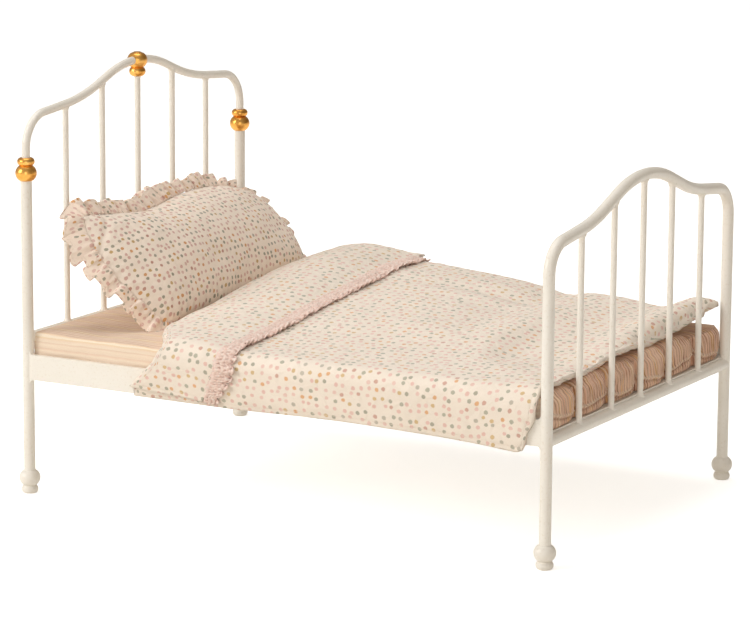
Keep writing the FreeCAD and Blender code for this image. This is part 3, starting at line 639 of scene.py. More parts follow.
hem_main = curve([(-80, 54.4), (-45, 54.2), (-20, 54.1), (14, 54.9), (40, 55.0), (66, 54.4), (86, 53.9), (106, 52.9), (116, 51.9), (130, 51.2)], 5.0)
hem_flap = curve([(-80, 59.2), (-70, 58.6), (-60, 57.9), (-45, 57.3), (-36, 56.2), (-25, 54.9)], 3.0)
head_x = curve([(-97, -57), (-92, -60.0), (-85, -66.8), (-72, -73.6), (0, -76.6), (98, -77.6)], 3.0)


def base_height(x, y):
    z = 77.35 + 0.28 * (top_far_main(x) - 84) * ramp(y, 20, 92)
    z = z + (foot_lift(y) - 77.35) * ramp(x, 102, 131) * ramp(y, -95, -80)
    return z + 3.0 * ramp(y, 40, 92) * ramp(x, -20, -55)


def top_main(x, y):
    t = ramp(y, -96, 88)
    z = top_near_main(x) * (1 - t) + top_far_main(x) * t
    z = z + 1.5 * np.sin(np.pi * np.clip((y + 92) / 184, 0, 1)) * ramp(x, 131, 95)
    z = z - 2.4 * np.exp(-(((x - 96) / 26) ** 2 + ((y + 38) / 30) ** 2))
    z = z - 1.6 * np.exp(-(((x - 60) / 14) ** 2 + ((y - 70) / 40) ** 2))
    z = z + 2.0 * np.exp(-(((x - 75 - 0.12 * y) / 8.5) ** 2 + ((y + 4) / 34) ** 2))
    z = z - 1.6 * np.exp(-(((x - 91) / 8.5) ** 2 + ((y + 38) / 30) ** 2))
    z = z + 1.2 * np.exp(-(((y - 35) / 7) ** 2 + ((x - 32) / 26) ** 2))
    z = z - 1.7 * np.exp(-(((y - 50) / 7) ** 2 + ((x - 34) / 24) ** 2))
    z = z + 0.8 * np.exp(-(((x - 8 + 0.2 * y) / 6) ** 2 + ((y + 25) / 22) ** 2))
    return z


def top_flap(x, y):
    t = ramp(y, -96, 84)
    z = top_near_flap(x) * (1 - t) + top_far_flap(x) * t
    return z + 1.2 * np.sin(np.pi * np.clip((y + 92) / 184, 0, 1))


def make_duvet():
    # rows run along the length: main layer from the foot to the head, round the fold, and back as the flap
    n_main, n_roll, n_flap = 134, 13, 38
    n_top, n_arc, n_drop = 124, 13, 15
    m = n_top + n_arc + n_drop
    q = np.arange(m)
    layer = np.concatenate([np.zeros(n_main), np.full(n_roll, 0.5), np.ones(n_flap)])
    n = len(layer)

    # where each column is: on the top, on the bend, or on the hanging side
    ft = np.clip(q / n_top, 0, 1)
    fa = np.clip((q - n_top) / n_arc, 0, 1)
    fd = np.clip((q - n_top - n_arc) / (n_drop - 1), 0, 1)
    nominal_r = 6.0
    y_guess = np.where(q <= n_top, FAR_Y + (IN_Y + nominal_r - FAR_Y) * ft, IN_Y + nominal_r * (1 - np.sin(fa * np.pi / 2)))
    x_head = head_x(y_guess)
    arc_part = (q > n_top) & (q <= n_top + n_arc)
    x_head = np.where(arc_part, np.interp(fa, [0, 0.45, 1], [head_x(-91.0), -58.6, -62.0]), x_head)
    x_head = np.where(q > n_top + n_arc, -62.0 - 14.0 * fd, x_head)
    x_foot = np.full(m, 131.6) + 0.7 * noise_a.fbm(y_guess / 16.0, 3.0) + 0.4 * np.sin(y_guess / 2.3) * 0.5
    x_foot = x_foot + 0.5 * ramp(y_guess, 84, 94)
    x_foot = np.where(q > n_top, 131.8, x_foot)
    x_foot = np.where(q > n_top + n_arc, np.interp(fd, [0, 0.2, 0.4, 0.6, 0.8, 1.0], [131.8, 131.0, 129.6, 128.1, 127.6, 127.3]), x_foot)
    x_edge = np.full(m, -29.0) + 0.5 * noise_b.fbm(y_guess / 20.0, 9.0) + 2.6 * ramp(y_guess, 62, 93)  # free edge of the flap
    x_edge = np.where(q > n_top, -29.2 - 7.0 * fd, x_edge)

    xm = x_foot[None, :] + (x_head - x_foot)[None, :] * np.linspace(0, 1, n_main)[:, None] ** 0.985
    X = np.zeros((n, m))
    X[:n_main] = xm
    X[n_main:n_main + n_roll] = x_head[None, :]
    X[n_main + n_roll:] = x_head[None, :] + (x_edge - x_head)[None, :] * np.linspace(0, 1, n_flap)[:, None]

    def section(x, lay, hem):
        """Base curve of the cross-section at x: y, z and the outward direction."""
        rb = 6.0 + 5.0 * ramp(x, 88, 131)
        y_end = IN_Y + rb
        y = np.where(q <= n_top, FAR_Y + (y_end - FAR_Y) * ft, y_end - rb * np.sin(fa * np.pi / 2))
        zt = base_height(x, y)
        z_bend = base_height(x, y_end)
        z = np.where(q <= n_top, zt, z_bend - rb * (1 - np.cos(fa * np.pi / 2)))
        z_low = z_bend - rb
        z = np.where(q > n_top + n_arc, z_low + (hem - z_low) * fd, z)
        ang = fa * np.pi / 2
        return y, z, -np.sin(ang), np.cos(ang)

    mid = np.zeros((n, m, 3))
    thick = np.zeros((n, m))
    y_all = np.zeros((n, m))
    gap = 0.25
    for i in range(n):
        x = X[i]
        hem = np.where(layer[i] > 0.4, hem_flap(x), hem_main(x))
        corner = np.clip((x - (x_foot[-1] - 5.0)) / 5.0, 0, 1)
        hem = hem + 4.0 * (1 - np.sqrt(1 - corner**2)) * (layer[i] < 0.4)
        y, z, ny_, nz_ = section(x, layer[i], hem)
        y_all[i] = y
        yc = np.clip(y, IN_Y + 5, None)
        zb = base_height(x, yc)
        h_all_main = np.maximum(top_main(x, yc) - zb, 3.0)
        under = ramp(x, -27, -50)  # well under the flap the main layer is pressed flatter
        h_total = np.maximum(top_flap(x, yc) - zb, 4.4)
        h_main = np.minimum(h_all_main * (1 - under) + (h_total * 0.54 - gap) * under, h_total - gap - 1.7)
        h_flap = h_total - h_main - gap
        dropf = smooth(np.clip(fa * 0.75 + fd * 0.6, 0, 1))
        h_main = h_main * (1 - dropf) + 2.5 * dropf
        h_flap = h_flap * (1 - dropf) + 1.9 * dropf
        w = layer[i]
        if w == 0:
            h, off = h_main, h_main / 2
            xx = x
            rho = (h_main + h_flap) / 4 + gap / 2
            lead = np.clip((x - x_head) / (rho * 2.5), 0, 1)
            xx = x + rho * (1 - lead) ** 1.0 * (x < x_head + rho * 2.5)
        elif w == 1:
            h, off = h_flap, h_main + gap + h_flap / 2
            rho = (h_main + h_flap) / 4 + gap / 2
            lead = np.clip((x - x_head) / (rho * 2.5), 0, 1)
            xx = x + rho * (1 - lead) * (x < x_head + rho * 2.5)
        else:
            k = (i - n_main + 1) / (n_roll + 1)
            phi = -np.pi / 2 + np.pi * k
            rho = (h_main + h_flap) / 4 + gap / 2
            c = (h_main / 2 + h_main + gap + h_flap / 2) / 2
            off = c + rho * np.sin(phi)
            xx = x_head + rho - rho * np.cos(phi)
            h = h_main * (1 - k) + h_flap * k
        mid[i, :, 0] = xx
        mid[i, :, 1] = y + ny_ * off
        mid[i, :, 2] = z + nz_ * off
        thick[i] = h
    # distances from the free edges
    ds = np.linalg.norm(np.diff(mid, axis=0), axis=2)
    along = np.concatenate([np.zeros((1, m)), np.cumsum(ds, 0)])
    dq = np.linalg.norm(np.diff(mid, axis=1), axis=2)
    across = np.concatenate([np.zeros((n, 1)), np.cumsum(dq, 1)], 1)
    to_foot, to_flap_edge = along, along[-1][None, :] - along
    to_far, to_hem = across, across[:, -1][:, None] - across
    edge = np.minimum(np.minimum(to_foot, to_flap_edge), np.minimum(to_far, to_hem))
    # the edge is a flat sewn band, and the wadding starts inside it
    flat_band = 2.2 - 1.2 * ramp(to_far, 14, 4)
    t = np.clip((edge - flat_band) / 11.0, 0, 1)
    puff = np.sqrt(np.clip(1 - (1 - t) ** 2.2, 0, 1))
    band = 0.95 + 1.15 * np.exp(-((to_foot / 4.5) ** 2)) * (1 - np.clip((np.arange(m) - n_top) / n_arc, 0, 1)[None, :] * 0.6)
    full = thick.copy()
    thick = band + (full - band) * puff
    # droop of the free edges onto what is under them
    nor = grid_normals(mid)
    droop = (1 - puff) * (full - band) / 2
    tf = ramp(to_foot, 14, 0)
    share = np.where(layer[:, None] > 0.6, 0.96, 0.55 + 0.25 * tf)
    share = np.where(to_far < 12, np.where(layer[:, None] > 0.6, 0.55, 0.30), share)
    share = np.where((layer[:, None] > 0.6) & (to_flap_edge < 16), np.maximum(share, 0.96 - 0.3 * ramp(to_flap_edge, 8, 16)), share)
    drape = np.clip((np.arange(m) - n_top) / n_arc, 0, 1)[None, :]
    share = share * (1 - drape) + 0.9 * drape
    sgn = 1.0
    outward = np.zeros_like(mid)
    ang = fa * np.pi / 2
    outward[..., 1], outward[..., 2] = -np.sin(ang)[None, :], np.cos(ang)[None, :]
    mid = mid - outward * (droop * share)[..., None]
    # folds and puckers
    s_, a_ = along, across
    nz_ = 0.85 * noise_a.fbm(s_ / 42, a_ / 30, 2) + 0.42 * noise_b.fbm(s_ / 15, a_ / 12, 3)
    pucker = 0.34 * np.sin(s_ / 1.15 + 2.2 * noise_c.fbm(s_ / 9, a_ / 9, 2)) * np.exp(-np.abs(to_hem - 4.0) / 3.0)
    pucker = pucker + 0.75 * np.sin(a_ / 1.05 + 2.6 * noise_c.fbm(s_ / 9, a_ / 9, 2)) * np.exp(-np.abs(to_foot - 3.4) / 3.0)
    pucker = pucker + 0.30 * np.sin(s_ / 1.2 + 2.0 * noise_a.fbm(s_ / 8, a_ / 8, 2)) * np.exp(-np.abs(to_far - 4.0) / 3.4)
    side_n = grid_normals(mid)
    if side_n[n_main // 2, n_top // 2, 2] < 0:
        side_n = -side_n
    face_a, face_b = mid + side_n * thick[..., None] / 2, mid - side_n * thick[..., None] / 2
    turn = n_main - 18
    print_len = np.where((np.arange(n) < turn)[:, None, None], face_a, face_b)
    thick = np.maximum(thick + (nz_ * puff + pucker) * np.where(layer[:, None] > 0.6, 0.8, 1.0), 0.7)
    # the foot end's edge waves a little
    wave = (0.55 * np.sin(y_all / 5.1 + 1.3) + 0.5 * noise_b.fbm(y_all / 9, 4.4, 2)) * ramp(to_foot, 12, 0) * (1 - drape)
    mid[..., 2] += wave
    # the printed cloth's own coordinates, measured over its outer face
    da_ = np.where((np.arange(n - 1) < turn)[:, None], np.linalg.norm(np.diff(face_a, axis=0), axis=2), np.linalg.norm(np.diff(face_b, axis=0), axis=2))
    u_ = np.concatenate([np.zeros((1, m)), np.cumsum(da_, 0)])
    db_ = np.linalg.norm(np.diff(print_len, axis=1), axis=2)
    v_ = np.concatenate([np.zeros((n, 1)), np.cumsum(db_, 1)], 1)
    v_ = v_ - v_[:, n_top:n_top + 1]
    mid_row, flap_row = n_main // 2, n_main + n_roll + n_flap // 2
    main_shift = -print_len[mid_row, :, 0] - u_[mid_row]
    flap_shift = print_len[flap_row, :, 0] - u_[flap_row]
    base_gap = float(np.median(flap_shift - main_shift))
    share_ = np.interp(np.arange(n), [n_main - 4, n_main + n_roll + 3], [0, 1])[:, None]
    uv = np.stack([u_ + main_shift[None, :] * (1 - share_) + (flap_shift - base_gap)[None, :] * share_, v_], 2)
    run = np.where((to_hem < to_foot) & (to_hem < to_flap_edge) | (to_far < np.minimum(to_foot, to_flap_edge)), along, across)
    normal_up = grid_normals(mid)[n_main // 2, n_top // 2, 2]
    hem_run = edge + np.where((to_flap_edge <= edge + 0.01) & (layer[:, None] > 0.4), 9.0, 0.0)
    obj = thick_sheet("duvet_soft", mid, thick, uv, {"hem": hem_run, "run": run}, 1.0 if normal_up > 0 else -1.0)
    obj.data.materials.append(dot_cloth("dotted_cotton_duvet", (244, 233, 219)))
    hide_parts("duvet")
    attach(obj, "duvet")
    return obj, {"mid": mid, "thick": thick, "n_main": n_main, "n_roll": n_roll, "outward": outward, "along": along, "across": across,
                 "n_top": n_top, "n_arc": n_arc}


duvet, duvet_data = make_duvet()


# ---- crochet edging -----------------------------------------------------------------------------
def make_lace():
    D = duvet_data
    n_main = D["n_main"]
    mid, thick, out = D["mid"], D["thick"], D["outward"]
    # outer face of the main layer, as a surface to lay the edging on: x by column
    nor = grid_normals(mid[:n_main])
    if nor[n_main // 2, D["n_top"] // 2, 2] < 0:
        nor = -nor
    face = mid[:n_main] + nor * thick[:n_main, :, None] / 2
    m = face.shape[1]
    edge_x = mid[-1, :, 0]
    cols = np.linspace(4.6, m - 2.4, 1300)
    width = np.linspace(0, 1, 34)
    arc = np.interp(cols, np.arange(m), D["across"][n_main - 30])
    P = np.zeros((len(width), len(cols), 3))
    N = np.zeros_like(P)
    for b, c in enumerate(cols):
        j = int(c)
        f = c - j
        line = face[:, j] * (1 - f) + face[:, j + 1] * f
        nl = nor[:, j] * (1 - f) + nor[:, j + 1] * f
        ex = edge_x[j] * (1 - f) + edge_x[j + 1] * f
        xs = line[::-1, 0]
        wide = 8.2 - 2.6 * ramp(arc[b], 22, 5) + 1.2 * ramp(arc[b], arc[-1] - 34, arc[-1] - 22) - 3.4 * ramp(arc[b], arc[-1] - 14, arc[-1])
        scal = wide + 2.8 * (np.abs(np.sin(arc[b] * np.pi / 4.6 + 0.9 * noise_b.at(arc[b] / 9.0, 5.5))) ** 0.8 - 0.6) + 0.20 * np.sin(arc[b] * 1.3)
        targets = ex - 2.0 + (scal + 2.0) * width
        for k in range(3):
            P[:, b, k] = np.interp(targets, xs, line[::-1, k])
            N[:, b, k] = np.interp(targets, xs, nl[::-1, k])
    w_mm = width[:, None] * 10.4 - 2.0
    a_mm = arc[None, :]
    # rows of stitches: a solid edge, a mesh of knots with gaps, and fans ending in small loops
    row1 = np.exp(-((w_mm - 0.2) / 0.8) ** 2)
    row2 = np.exp(-((w_mm - 3.0) / 0.55) ** 2)
    row3 = np.exp(-((w_mm - 5.6) / 0.55) ** 2)
    mesh_a = np.cos(a_mm * 2 * np.pi / 1.55 + 1.2 * noise_a.at(a_mm / 5, 2.0)) * np.exp(-((w_mm - 1.7) / 0.9) ** 2)
    mesh_b = np.cos(a_mm * 2 * np.pi / 1.55 + 1.57 + 1.2 * noise_b.at(a_mm / 5, 3.0)) * np.exp(-((w_mm - 4.3) / 0.9) ** 2)
    ph = ((a_mm / 4.6) % 1.0) - 0.5
    fan = np.cos(np.arctan2(ph * 4.6, np.maximum(w_mm - 5.0, 0.25)) * 8.0) * np.exp(-((w_mm - 7.0) / 1.1) ** 2)
    rim = np.exp(-((w_mm - 8.1) / 0.45) ** 2)
    fuzz = noise_c.fbm(a_mm / 0.55, w_mm / 0.55, 2)
    lift = 0.50 * row1 + 0.45 * row2 + 0.45 * row3 + 0.42 * mesh_a + 0.42 * mesh_b + 0.42 * fan + 0.5 * rim + 0.26 * fuzz
    tip = np.abs(np.sin(a_mm * np.pi / 4.6 + 0.9 * noise_b.at(a_mm / 9.0, 5.5))) ** 0.9 * (0.8 + 0.5 * noise_c.at(a_mm / 4.0, 8.5))
    # painted shade: lace_shade is high where the knots sit low and in the valleys between the scallops
    lace_shade = np.clip(0.42 - lift * 1.2 + 0.6 * (1 - tip) * ramp(w_mm, 4.6, 7.6), 0, 1)
    over = 0.85 + 0.35 * noise_a.at(a_mm / 6.0, 0.5) - 0.30 * ramp(w_mm, -0.5, -2.0) + (2.9 * tip - 1.75) * ramp(w_mm, 3.4, 7.8) * ramp(a_mm, arc[-1] - 2, arc[-1] - 14)
    M = P + N * np.maximum(over + lift * 1.05, 0.35)[..., None]
    T = np.full(M.shape[:2], 0.6)
    hole = (lift < -0.16) & (w_mm > 1.0)
    keep = ~(hole[:-1, :-1] & hole[1:, :-1] & hole[1:, 1:] & hole[:-1, 1:])
    uv = np.stack([np.broadcast_to(w_mm, T.shape), np.broadcast_to(a_mm, T.shape)], 2)
    flip = 1.0 if grid_normals(M)[10, 300, 2] > 0 else -1.0
    obj = thick_sheet("lace_soft", M, T, uv, {"lace_shade": lace_shade}, flip, keep)
    obj.data.materials.append(crochet_cotton())
    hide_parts("lace_trim")
    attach(obj, "duvet")
    return obj


lace = make_lace()

# ---- pillow -------------------------------------------------------------------------------------
p_lo, p_hi = (np.array(c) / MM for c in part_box("pillow_cover"))
p_mid = (p_lo + p_hi) / 2
LEAN = math.radians(50)
UPV = np.array([-math.cos(LEAN), 0, math.sin(LEAN)])
ACR = np.array([0, 1.0, 0])
NRM = np.array([math.sin(LEAN), 0, math.cos(LEAN)])
HALF_B = (p_hi[1] - p_lo[1]) / 2
HALF_A = 31.0
a_top = curve([(-80, 33.0), (-65, 31.7), (-57, 30.0), (-45, 28.4), (-34, 26.9), (-22, 25.4), (-7, 26.6), (9, 29.0), (28, 30.2), (46, 29.6), (58.5, 27.4), (69, 22.4), (78, 16)], 2.5)
a_low = curve([(-75, -34.0), (-60, -34.6), (-30, -34.6), (0, -34.2), (40, -33.6), (64, -33.0), (80, -31.0)], 5.0)
b_left = curve([(-40, -60.5), (-33, -61.0), (-22, -65.0), (-9, -71.0), (4.5, -74.0), (17, -73.6), (32, -69.5), (38, -67.0)], 3.0)
b_right = curve([(-40, 76.0), (-33, 78.0), (-22, 80.2), (-10, 81.0), (5, 79.8), (15, 76.6), (21, 73.4), (30, 68.0)], 3.0)


def to_row(a, b, n):
    return p_mid[None, :] + np.asarray(a)[..., None] * UPV + np.asarray(b)[..., None] * ACR + np.asarray(n)[..., None] * NRM


def make_pillow():
    na, nb = 56, 120
    ta, tb = np.linspace(-1, 1, na), np.linspace(-1, 1, nb)
    TA, TB = np.meshgrid(ta, tb, indexing="ij")
    # fold the square grid onto the outline with rounded corners
    B0 = TB * 71.0
    A0 = np.where(TA > 0, TA * a_top(B0), -TA * a_low(B0))
    B1 = np.where(TB > 0, TB * b_right(A0), -TB * b_left(A0))
    round_c = (np.abs(TA) ** 6) * (np.abs(TB) ** 14)
    A = A0 * (1 - 0.06 * round_c)
    B = B1 * (1 - 0.035 * round_c)
    fa_, fb_ = 1 - np.abs(TA), 1 - np.abs(TB)
    full = (1 - np.abs(TA) ** 2.8) ** np.where(TA < 0, 0.5, 0.62) * (1 - np.abs(TB) ** np.where(TB > 0, 5.0, 3.3)) ** np.where(TB > 0, 0.46, 0.72)
    front_h = 13.5 * full * (1 - 0.10 * TA) * (1 + 0.05 * noise_a.fbm(A / 20, B / 22))
    back_h = 8.0 * full ** 0.8
    ids = np.arange(na * nb).reshape(na, nb)
    border = np.zeros((na, nb), bool)
    border[0], border[-1], border[:, 0], border[:, -1] = True, True, True, True
    back_ids = np.full((na, nb), -1)
    back_ids[border] = ids[border]
    inner = ~border
    back_ids[inner] = na * nb + np.arange(inner.sum())
    faces = []
    for i in range(na - 1):
        for j in range(nb - 1):
            faces.append((ids[i, j], ids[i, j + 1], ids[i + 1, j + 1], ids[i + 1, j]))
            faces.append((back_ids[i, j], back_ids[i + 1, j], back_ids[i + 1, j + 1], back_ids[i, j + 1]))
    flat = np.concatenate([np.stack([A, B, 0 * A], 2).reshape(-1, 3), np.stack([A, B, 0 * A], 2)[inner]])
    shape = np.concatenate([np.stack([A, B, front_h], 2).reshape(-1, 3), np.stack([A, B, -back_h], 2)[inner]])
    uvs = np.concatenate([np.stack([A * 1.10, B * 1.06], 2).reshape(-1, 2), np.stack([A * 1.10 + 311, B * 1.06 + 97], 2)[inner]])
    seam_d = np.minimum(fa_ * 31, fb_ * 71)
    attr = np.concatenate([seam_d.ravel(), seam_d[inner]])
    local = shape
    local = inflate(shape, flat, faces, np.concatenate([border.ravel(), np.zeros(inner.sum(), bool)]), A.ravel())
    # gathers run in from the seam, and a few creases from the corners
    la, lb = local[:, 0], local[:, 1]
    sgn = np.concatenate([np.ones(na * nb), -np.ones(int(inner.sum()))])
    da = np.concatenate([(fa_ * 32).ravel(), (fa_ * 32)[inner]])
    db = np.concatenate([(fb_ * 71).ravel(), (fb_ * 71)[inner]])
    g_a = np.sin(lb * 2 * np.pi / 4.9 + 2.5 * noise_a.fbm(lb / 13, la / 30, 2)) * np.exp(-da / 6.5) * (1 - np.exp(-da / 1.2))
    g_b = np.sin(la * 2 * np.pi / 6.6 + 4.5 * noise_b.fbm(la / 11, lb / 30, 2)) * np.exp(-db / 3.2) * (1 - np.exp(-db / 1.0))
    crease = noise_c.fbm(la / 16 + lb / 40, lb / 21 - la / 50, 3)
    local[:, 2] += sgn * (0.75 * g_a + 0.65 * g_b + 0.95 * crease * (1 - np.exp(-np.minimum(da, db) / 6.0)))
    local[:, 2] -= sgn * 1.5 * np.exp(-(((la - 22 - (lb + 60) * 0.9) / 1.6) ** 2)) * ramp(lb, -48, -60) * (1 - np.exp(-np.minimum(da, db) / 1.5))
    P = to_row(local[:, 0], local[:, 1], local[:, 2])
    P[:, 2] = np.maximum(P[:, 2], hi[2] + 0.25)
    obj = new_mesh("pillow_soft", P, faces, uvs, {"hem": attr + 9.0, "run": attr})
    sub = obj.modifiers.new("round", "SUBSURF")
    sub.levels = sub.render_levels = 1
    obj.data.materials.append(dot_cloth("dotted_cotton_pillow", (251, 237, 222), pitch=3.55, dot=0.98, stitch=False, dot_shade=0.15))
    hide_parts("pillow_cover", "pillow_filling")
    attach(obj, "pillow")
    loop = [ids[0, j] for j in range(nb)] + [ids[i, nb - 1] for i in range(1, na)]
    loop += [ids[na - 1, j] for j in range(nb - 2, -1, -1)] + [ids[i, 0] for i in range(na - 2, 0, -1)]
    return obj, local[np.array(loop)]


def inflate(shape, flat, faces, border, a0):
    """Blows the case up with a short cloth run, its sewn edge gathered a little, at ten times size."""
    S = 0.01
    mesh = bpy.data.meshes.new("sim")
    start = shape.copy()
    start[:, 2] *= 0.96
    mesh.from_pydata((start * S).tolist(), [], [tuple(int(v) for v in f)[::-1] for f in faces])
    o = bpy.data.objects.new("sim", mesh)
    scene.collection.objects.link(o)
    o.shape_key_add(name="Basis")
    rest = o.shape_key_add(name="rest")
    big = shape.copy()
    big[:, 0] *= 1.075
    big[:, 1] *= 1.055
    big[:, 2] *= 0.95
    rest.data.foreach_set("co", (big * S).astype(np.float32).ravel())
    rest.value = 0.0
    g = o.vertex_groups.new(name="pin")
    g.add([int(i) for i in np.nonzero(border)[0]], 1.0, "REPLACE")
    c = o.modifiers.new("cloth", "CLOTH")
    st = c.settings
    st.quality = 6
    st.mass = 0.3
    st.tension_stiffness = st.compression_stiffness = 25
    st.shear_stiffness = 8
    st.bending_stiffness = 0.12
    st.tension_damping = st.compression_damping = 12
    st.bending_damping = 0.8
    st.air_damping = 3.0
    st.use_pressure = True
    st.uniform_pressure_force = 16.0
    st.use_pressure_volume = False
    st.vertex_group_mass = "pin"
    st.rest_shape_key = rest
    st.effector_weights.gravity = 0.0
    c.collision_settings.use_collision = False
    c.collision_settings.use_self_collision = False
    c.point_cache.frame_start, c.point_cache.frame_end = 1, 26
    scene.frame_start, scene.frame_end = 1, 26
    for f in range(1, 27):
        scene.frame_set(f)
    dg = bpy.context.evaluated_depsgraph_get()
    e_ = o.evaluated_get(dg)
    co = np.zeros(len(e_.data.vertices) * 3, np.float32)
    e_.data.vertices.foreach_get("co", co)
    co = co.reshape(-1, 3).astype(float) / S
    scene.frame_set(1)
    bpy.data.objects.remove(o)
    move = co - shape
    length = np.linalg.norm(move, axis=1, keepdims=True)
    cap = 5.0
    move = move * np.minimum(1.0, cap / np.maximum(length, 1e-9))
    print("pillow sim: moved mean %.2f mm, most %.2f mm" % (length.mean(), length.max()))
    return shape + move


pillow, seam_loop = make_pillow()


def make_ruffle():
    """A gathered double frill sewn into the pillow's edge seam."""
    loop = np.array(seam_loop)
    closed = np.concatenate([loop, loop[:1]])
    d = np.concatenate([[0], np.cumsum(np.linalg.norm(np.diff(closed, axis=0), axis=1))])
    total = d[-1]
    count = 1500
    s = np.linspace(0, total, count, endpoint=False)
    base = np.stack([np.interp(s, d, closed[:, k]) for k in range(3)], 1)
    soft = base.copy()
    for _ in range(30):
        soft = (np.roll(soft, 1, 0) + soft * 2 + np.roll(soft, -1, 0)) / 4
    tan = np.roll(soft, -1, 0) - np.roll(soft, 1, 0)
    tan[:, 2] = 0
    tan /= np.linalg.norm(tan, axis=1, keepdims=True)
    outv = np.stack([-tan[:, 1], tan[:, 0], 0 * s], 1)
    centre = loop.mean(0)
    if np.mean(np.sum(outv[:, :2] * (base[:, :2] - centre[:2]), 1)) < 0:
        outv = -outv
    rows = 13
    w = np.linspace(0, 1, rows)
    th = s / total * 2 * np.pi
    a_, b_ = base[:, 0], base[:, 1]
    k_top = ramp(a_, 17, 23) * (np.abs(outv[:, 0]) > 0.5)
    k_left = ramp(b_, -54, -60) * (np.abs(outv[:, 1]) > 0.45)
    k_low = ramp(a_, -25, -31) * (np.abs(outv[:, 0]) > 0.5)
    k_right = ramp(b_, 62, 70) * (np.abs(outv[:, 1]) > 0.45)

    def ease(v_):
        for _ in range(60):
            v_ = (np.roll(v_, 1) + 2 * v_ + np.roll(v_, -1)) / 4
        return v_

    k_top, k_left, k_low, k_right = (ease(k) for k in (k_top, k_left, k_low, k_right))
    w_top = curve([(-70, 11.5), (-58, 9.4), (-45, 9.0), (-29, 9.0), (-17, 9.4), (0, 11.2), (13, 9.4), (27, 8.4), (40, 9.6), (47, 10.2), (54, 7.0), (60, 5.4), (67, 6.2), (74, 5.4)], 1.5)
    w_left = curve([(-38, 11.0), (-31, 9.0), (-24, 7.6), (-8, 7.8), (5, 9.6), (14, 11.0), (24, 12.6), (36, 12.0)], 2.0)
    sum_k = k_top + k_left + k_low + k_right + 1e-6
    width = (k_top * w_top(b_) + k_left * w_left(a_) + k_low * (5.6 + 3.0 * ramp(b_, -40, -58)) + k_right * (8.4 - 4.0 * ramp(a_, -10, 4))) / sum_k
    back_ = (k_top * 0.22 + k_left * 0.80 + k_low * 0.1 + k_right * (0.20 - 0.42 * ramp(a_, -10, 4))) / sum_k
    pitch = (k_top * 7.6 + k_left * 13.0 + k_low * 7.0 + k_right * 7.5) / sum_k
    amp = (k_top * 2.2 + k_left * 1.35 + k_low * 0.9 + k_right * 1.9) / sum_k
    tuck = (k_top * 0.70 + k_left * 0.62 + k_low * 0.5 + k_right * 0.5) / sum_k
    ph2 = 2 * np.pi * s / (total / round(total / 3.7)) + 2.2 * noise_c.at(np.cos(th) * 21 + 50, np.sin(th) * 21 + 50)
    amp = amp * (1 + 0.75 * noise_c.at(np.cos(th) * 12 + 30, np.sin(th) * 12 + 30))
    width = width * (1 + 0.20 * noise_b.at(np.cos(th) * 14 + 40, np.sin(th) * 14 + 40))
    ph = np.cumsum(2 * np.pi / pitch * (total / count))
    ph = ph * round(ph[-1] / (2 * np.pi)) * 2 * np.pi / ph[-1]
    ph = ph + 3.1 * noise_a.at(np.cos(th) * 7 + 20, np.sin(th) * 7 + 20) + 1.6 * noise_b.at(np.cos(th) * 17 + 20, np.sin(th) * 17 + 20)
    P = np.zeros((rows, count, 3))
    for r_ in range(rows):
        t = w[r_]
        spread = t ** 0.85
        reach = width * (t - 0.07)
        curl = back_ * (0.6 + 0.6 * t)
        p = base + outv * (reach * np.cos(curl))[:, None]
        p[:, 2] -= reach * np.sin(curl)
        p[:, 2] += amp * (np.sin(ph) + 0.22 * np.sin(2 * ph + 0.8)) * (0.30 + 0.70 * spread)
        p[:, 2] += tuck * (0.75 + 0.8 * noise_a.at(s / 17, 7.7)) * np.sin(ph2) * np.exp(-((t - 0.16) / 0.24) ** 2)
        p += tan * (-0.125 * pitch * np.sin(2 * ph) * spread)[:, None]
        p += outv * (0.45 * np.cos(ph + 0.6) * t)[:, None]
        P[r_] = p
    low = (to_row(P[..., 0].ravel(), P[..., 1].ravel(), P[..., 2].ravel())).reshape(rows, count, 3)
    floor_z = hi[2] + 0.35
    low[..., 2] = np.where(low[..., 2] < floor_z, floor_z + 0.12 * (low[..., 2] - floor_z) * 0.0, low[..., 2])
    bar_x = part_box("head_baluster_1")[1].x / MM + 0.9
    low[..., 0] = np.maximum(low[..., 0], bar_x)
    ring = np.concatenate([low, low[:, :1]], 1)
    arc = np.concatenate([[0], np.cumsum(np.linalg.norm(np.diff(ring[-1], axis=0), axis=1))])
    uv = np.stack([np.broadcast_to((w * 9.0)[:, None], (rows, count + 1)), np.broadcast_to(arc[None, :], (rows, count + 1))], 2) + [411, 53]
    thick = np.full((rows, count + 1), 0.62)
    thick[-1] = 0.5
    edge = np.broadcast_to(((1 - w) * 8.6)[:, None], thick.shape)
    nor = grid_normals(ring)
    # keep the loop's two ends alike so that the frill closes without a step
    nor[:, 0] = nor[:, -1] = (nor[:, 0] + nor[:, -1]) / 2
    obj = thick_sheet("ruffle_soft", ring, thick, uv, {"hem": np.array(edge) + 1.4, "run": np.broadcast_to(arc[None, :], thick.shape)})
    obj.data.materials.append(dot_cloth("dotted_cotton_frill", (247, 229, 213), pitch=3.55, dot=0.98, dot_shade=0.12))
    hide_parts("pillow_ruffle")
    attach(obj, "pillow")
    return obj


ruffle = make_ruffle()

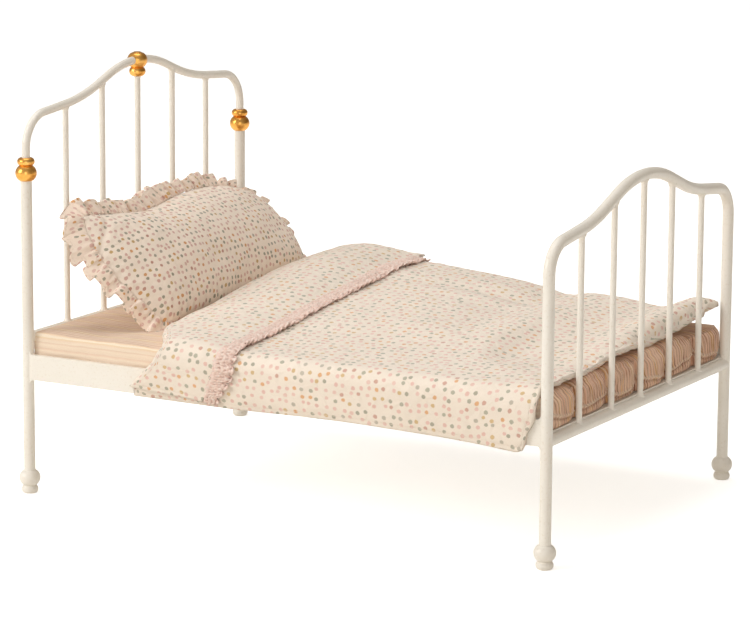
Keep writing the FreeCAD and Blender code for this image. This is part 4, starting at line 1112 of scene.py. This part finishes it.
# ---- floor --------------------------------------------------------------------------------------
floor_mat = Mat("floor")
fc = floor_mat.node("TexCoord").outputs["Object"]
fn = floor_mat.noise(fc, 3.0, 2.0, 0.5).outputs["Fac"]
floor_mat.set(Base_Color=floor_mat.ramp(fn, [(0.3, (250, 249, 247)), (0.7, (252, 251, 249))]), Roughness=0.9, Specular_IOR_Level=0.1, Emission_Color=(1.0, 1.0, 1.0, 1.0), Emission_Strength=0.55)
floor_mesh = bpy.data.meshes.new("floor")
floor_mesh.from_pydata([(-12, -12, 0), (12, -12, 0), (12, 12, 0), (-12, 12, 0)], [], [(0, 1, 2, 3)])
floor = bpy.data.objects.new("floor", floor_mesh)
scene.collection.objects.link(floor)
floor.data.materials.append(floor_mat.m)
floor.visible_diffuse = False
floor.visible_shadow = False
# a plain pale backdrop all round, far away, so that low views have one too
back_mat = Mat("backdrop")
bn = back_mat.noise(back_mat.node("TexCoord").outputs["Object"], 0.4, 2.0, 0.5).outputs["Fac"]
back_mat.set(Base_Color=back_mat.ramp(bn, [(0.3, (30, 30, 29)), (0.7, (34, 34, 33))]), Roughness=1.0, Specular_IOR_Level=0.0,
             Emission_Color=back_mat.ramp(bn, [(0.3, (254, 254, 253)), (0.7, (255, 255, 255))]), Emission_Strength=1.0)
ring_n, ring_r, ring_h = 96, 11.5, 9.0
ring_v = [(ring_r * math.cos(2 * math.pi * k / ring_n), ring_r * math.sin(2 * math.pi * k / ring_n), z_) for z_ in (-0.01, ring_h) for k in range(ring_n)]
ring_f = [((k + 1) % ring_n, k, k + ring_n, (k + 1) % ring_n + ring_n) for k in range(ring_n)]
back_mesh = bpy.data.meshes.new("backdrop")
back_mesh.from_pydata(ring_v, [], ring_f)
back_drop = bpy.data.objects.new("backdrop", back_mesh)
scene.collection.objects.link(back_drop)
back_mesh.materials.append(back_mat.m)
back_drop.visible_diffuse = back_drop.visible_glossy = back_drop.visible_shadow = back_drop.visible_transmission = False
# the light that a pale floor sends back up, with the bed's own shadow in it
card = bpy.data.objects.new("bounce", floor_mesh.copy())
card.location = (0, 0, -0.0005)
scene.collection.objects.link(card)
card_mat = Mat("bounce")
cn = card_mat.noise(card_mat.node("TexCoord").outputs["Object"], 3.0, 2.0, 0.5).outputs["Fac"]
card_mat.set(Base_Color=card_mat.ramp(cn, [(0.3, (232, 226, 216)), (0.7, (236, 230, 220))]), Roughness=1.0, Specular_IOR_Level=0.0)
card.data.materials.clear()
card.data.materials.append(card_mat.m)
card.visible_camera = False
card.visible_glossy = False
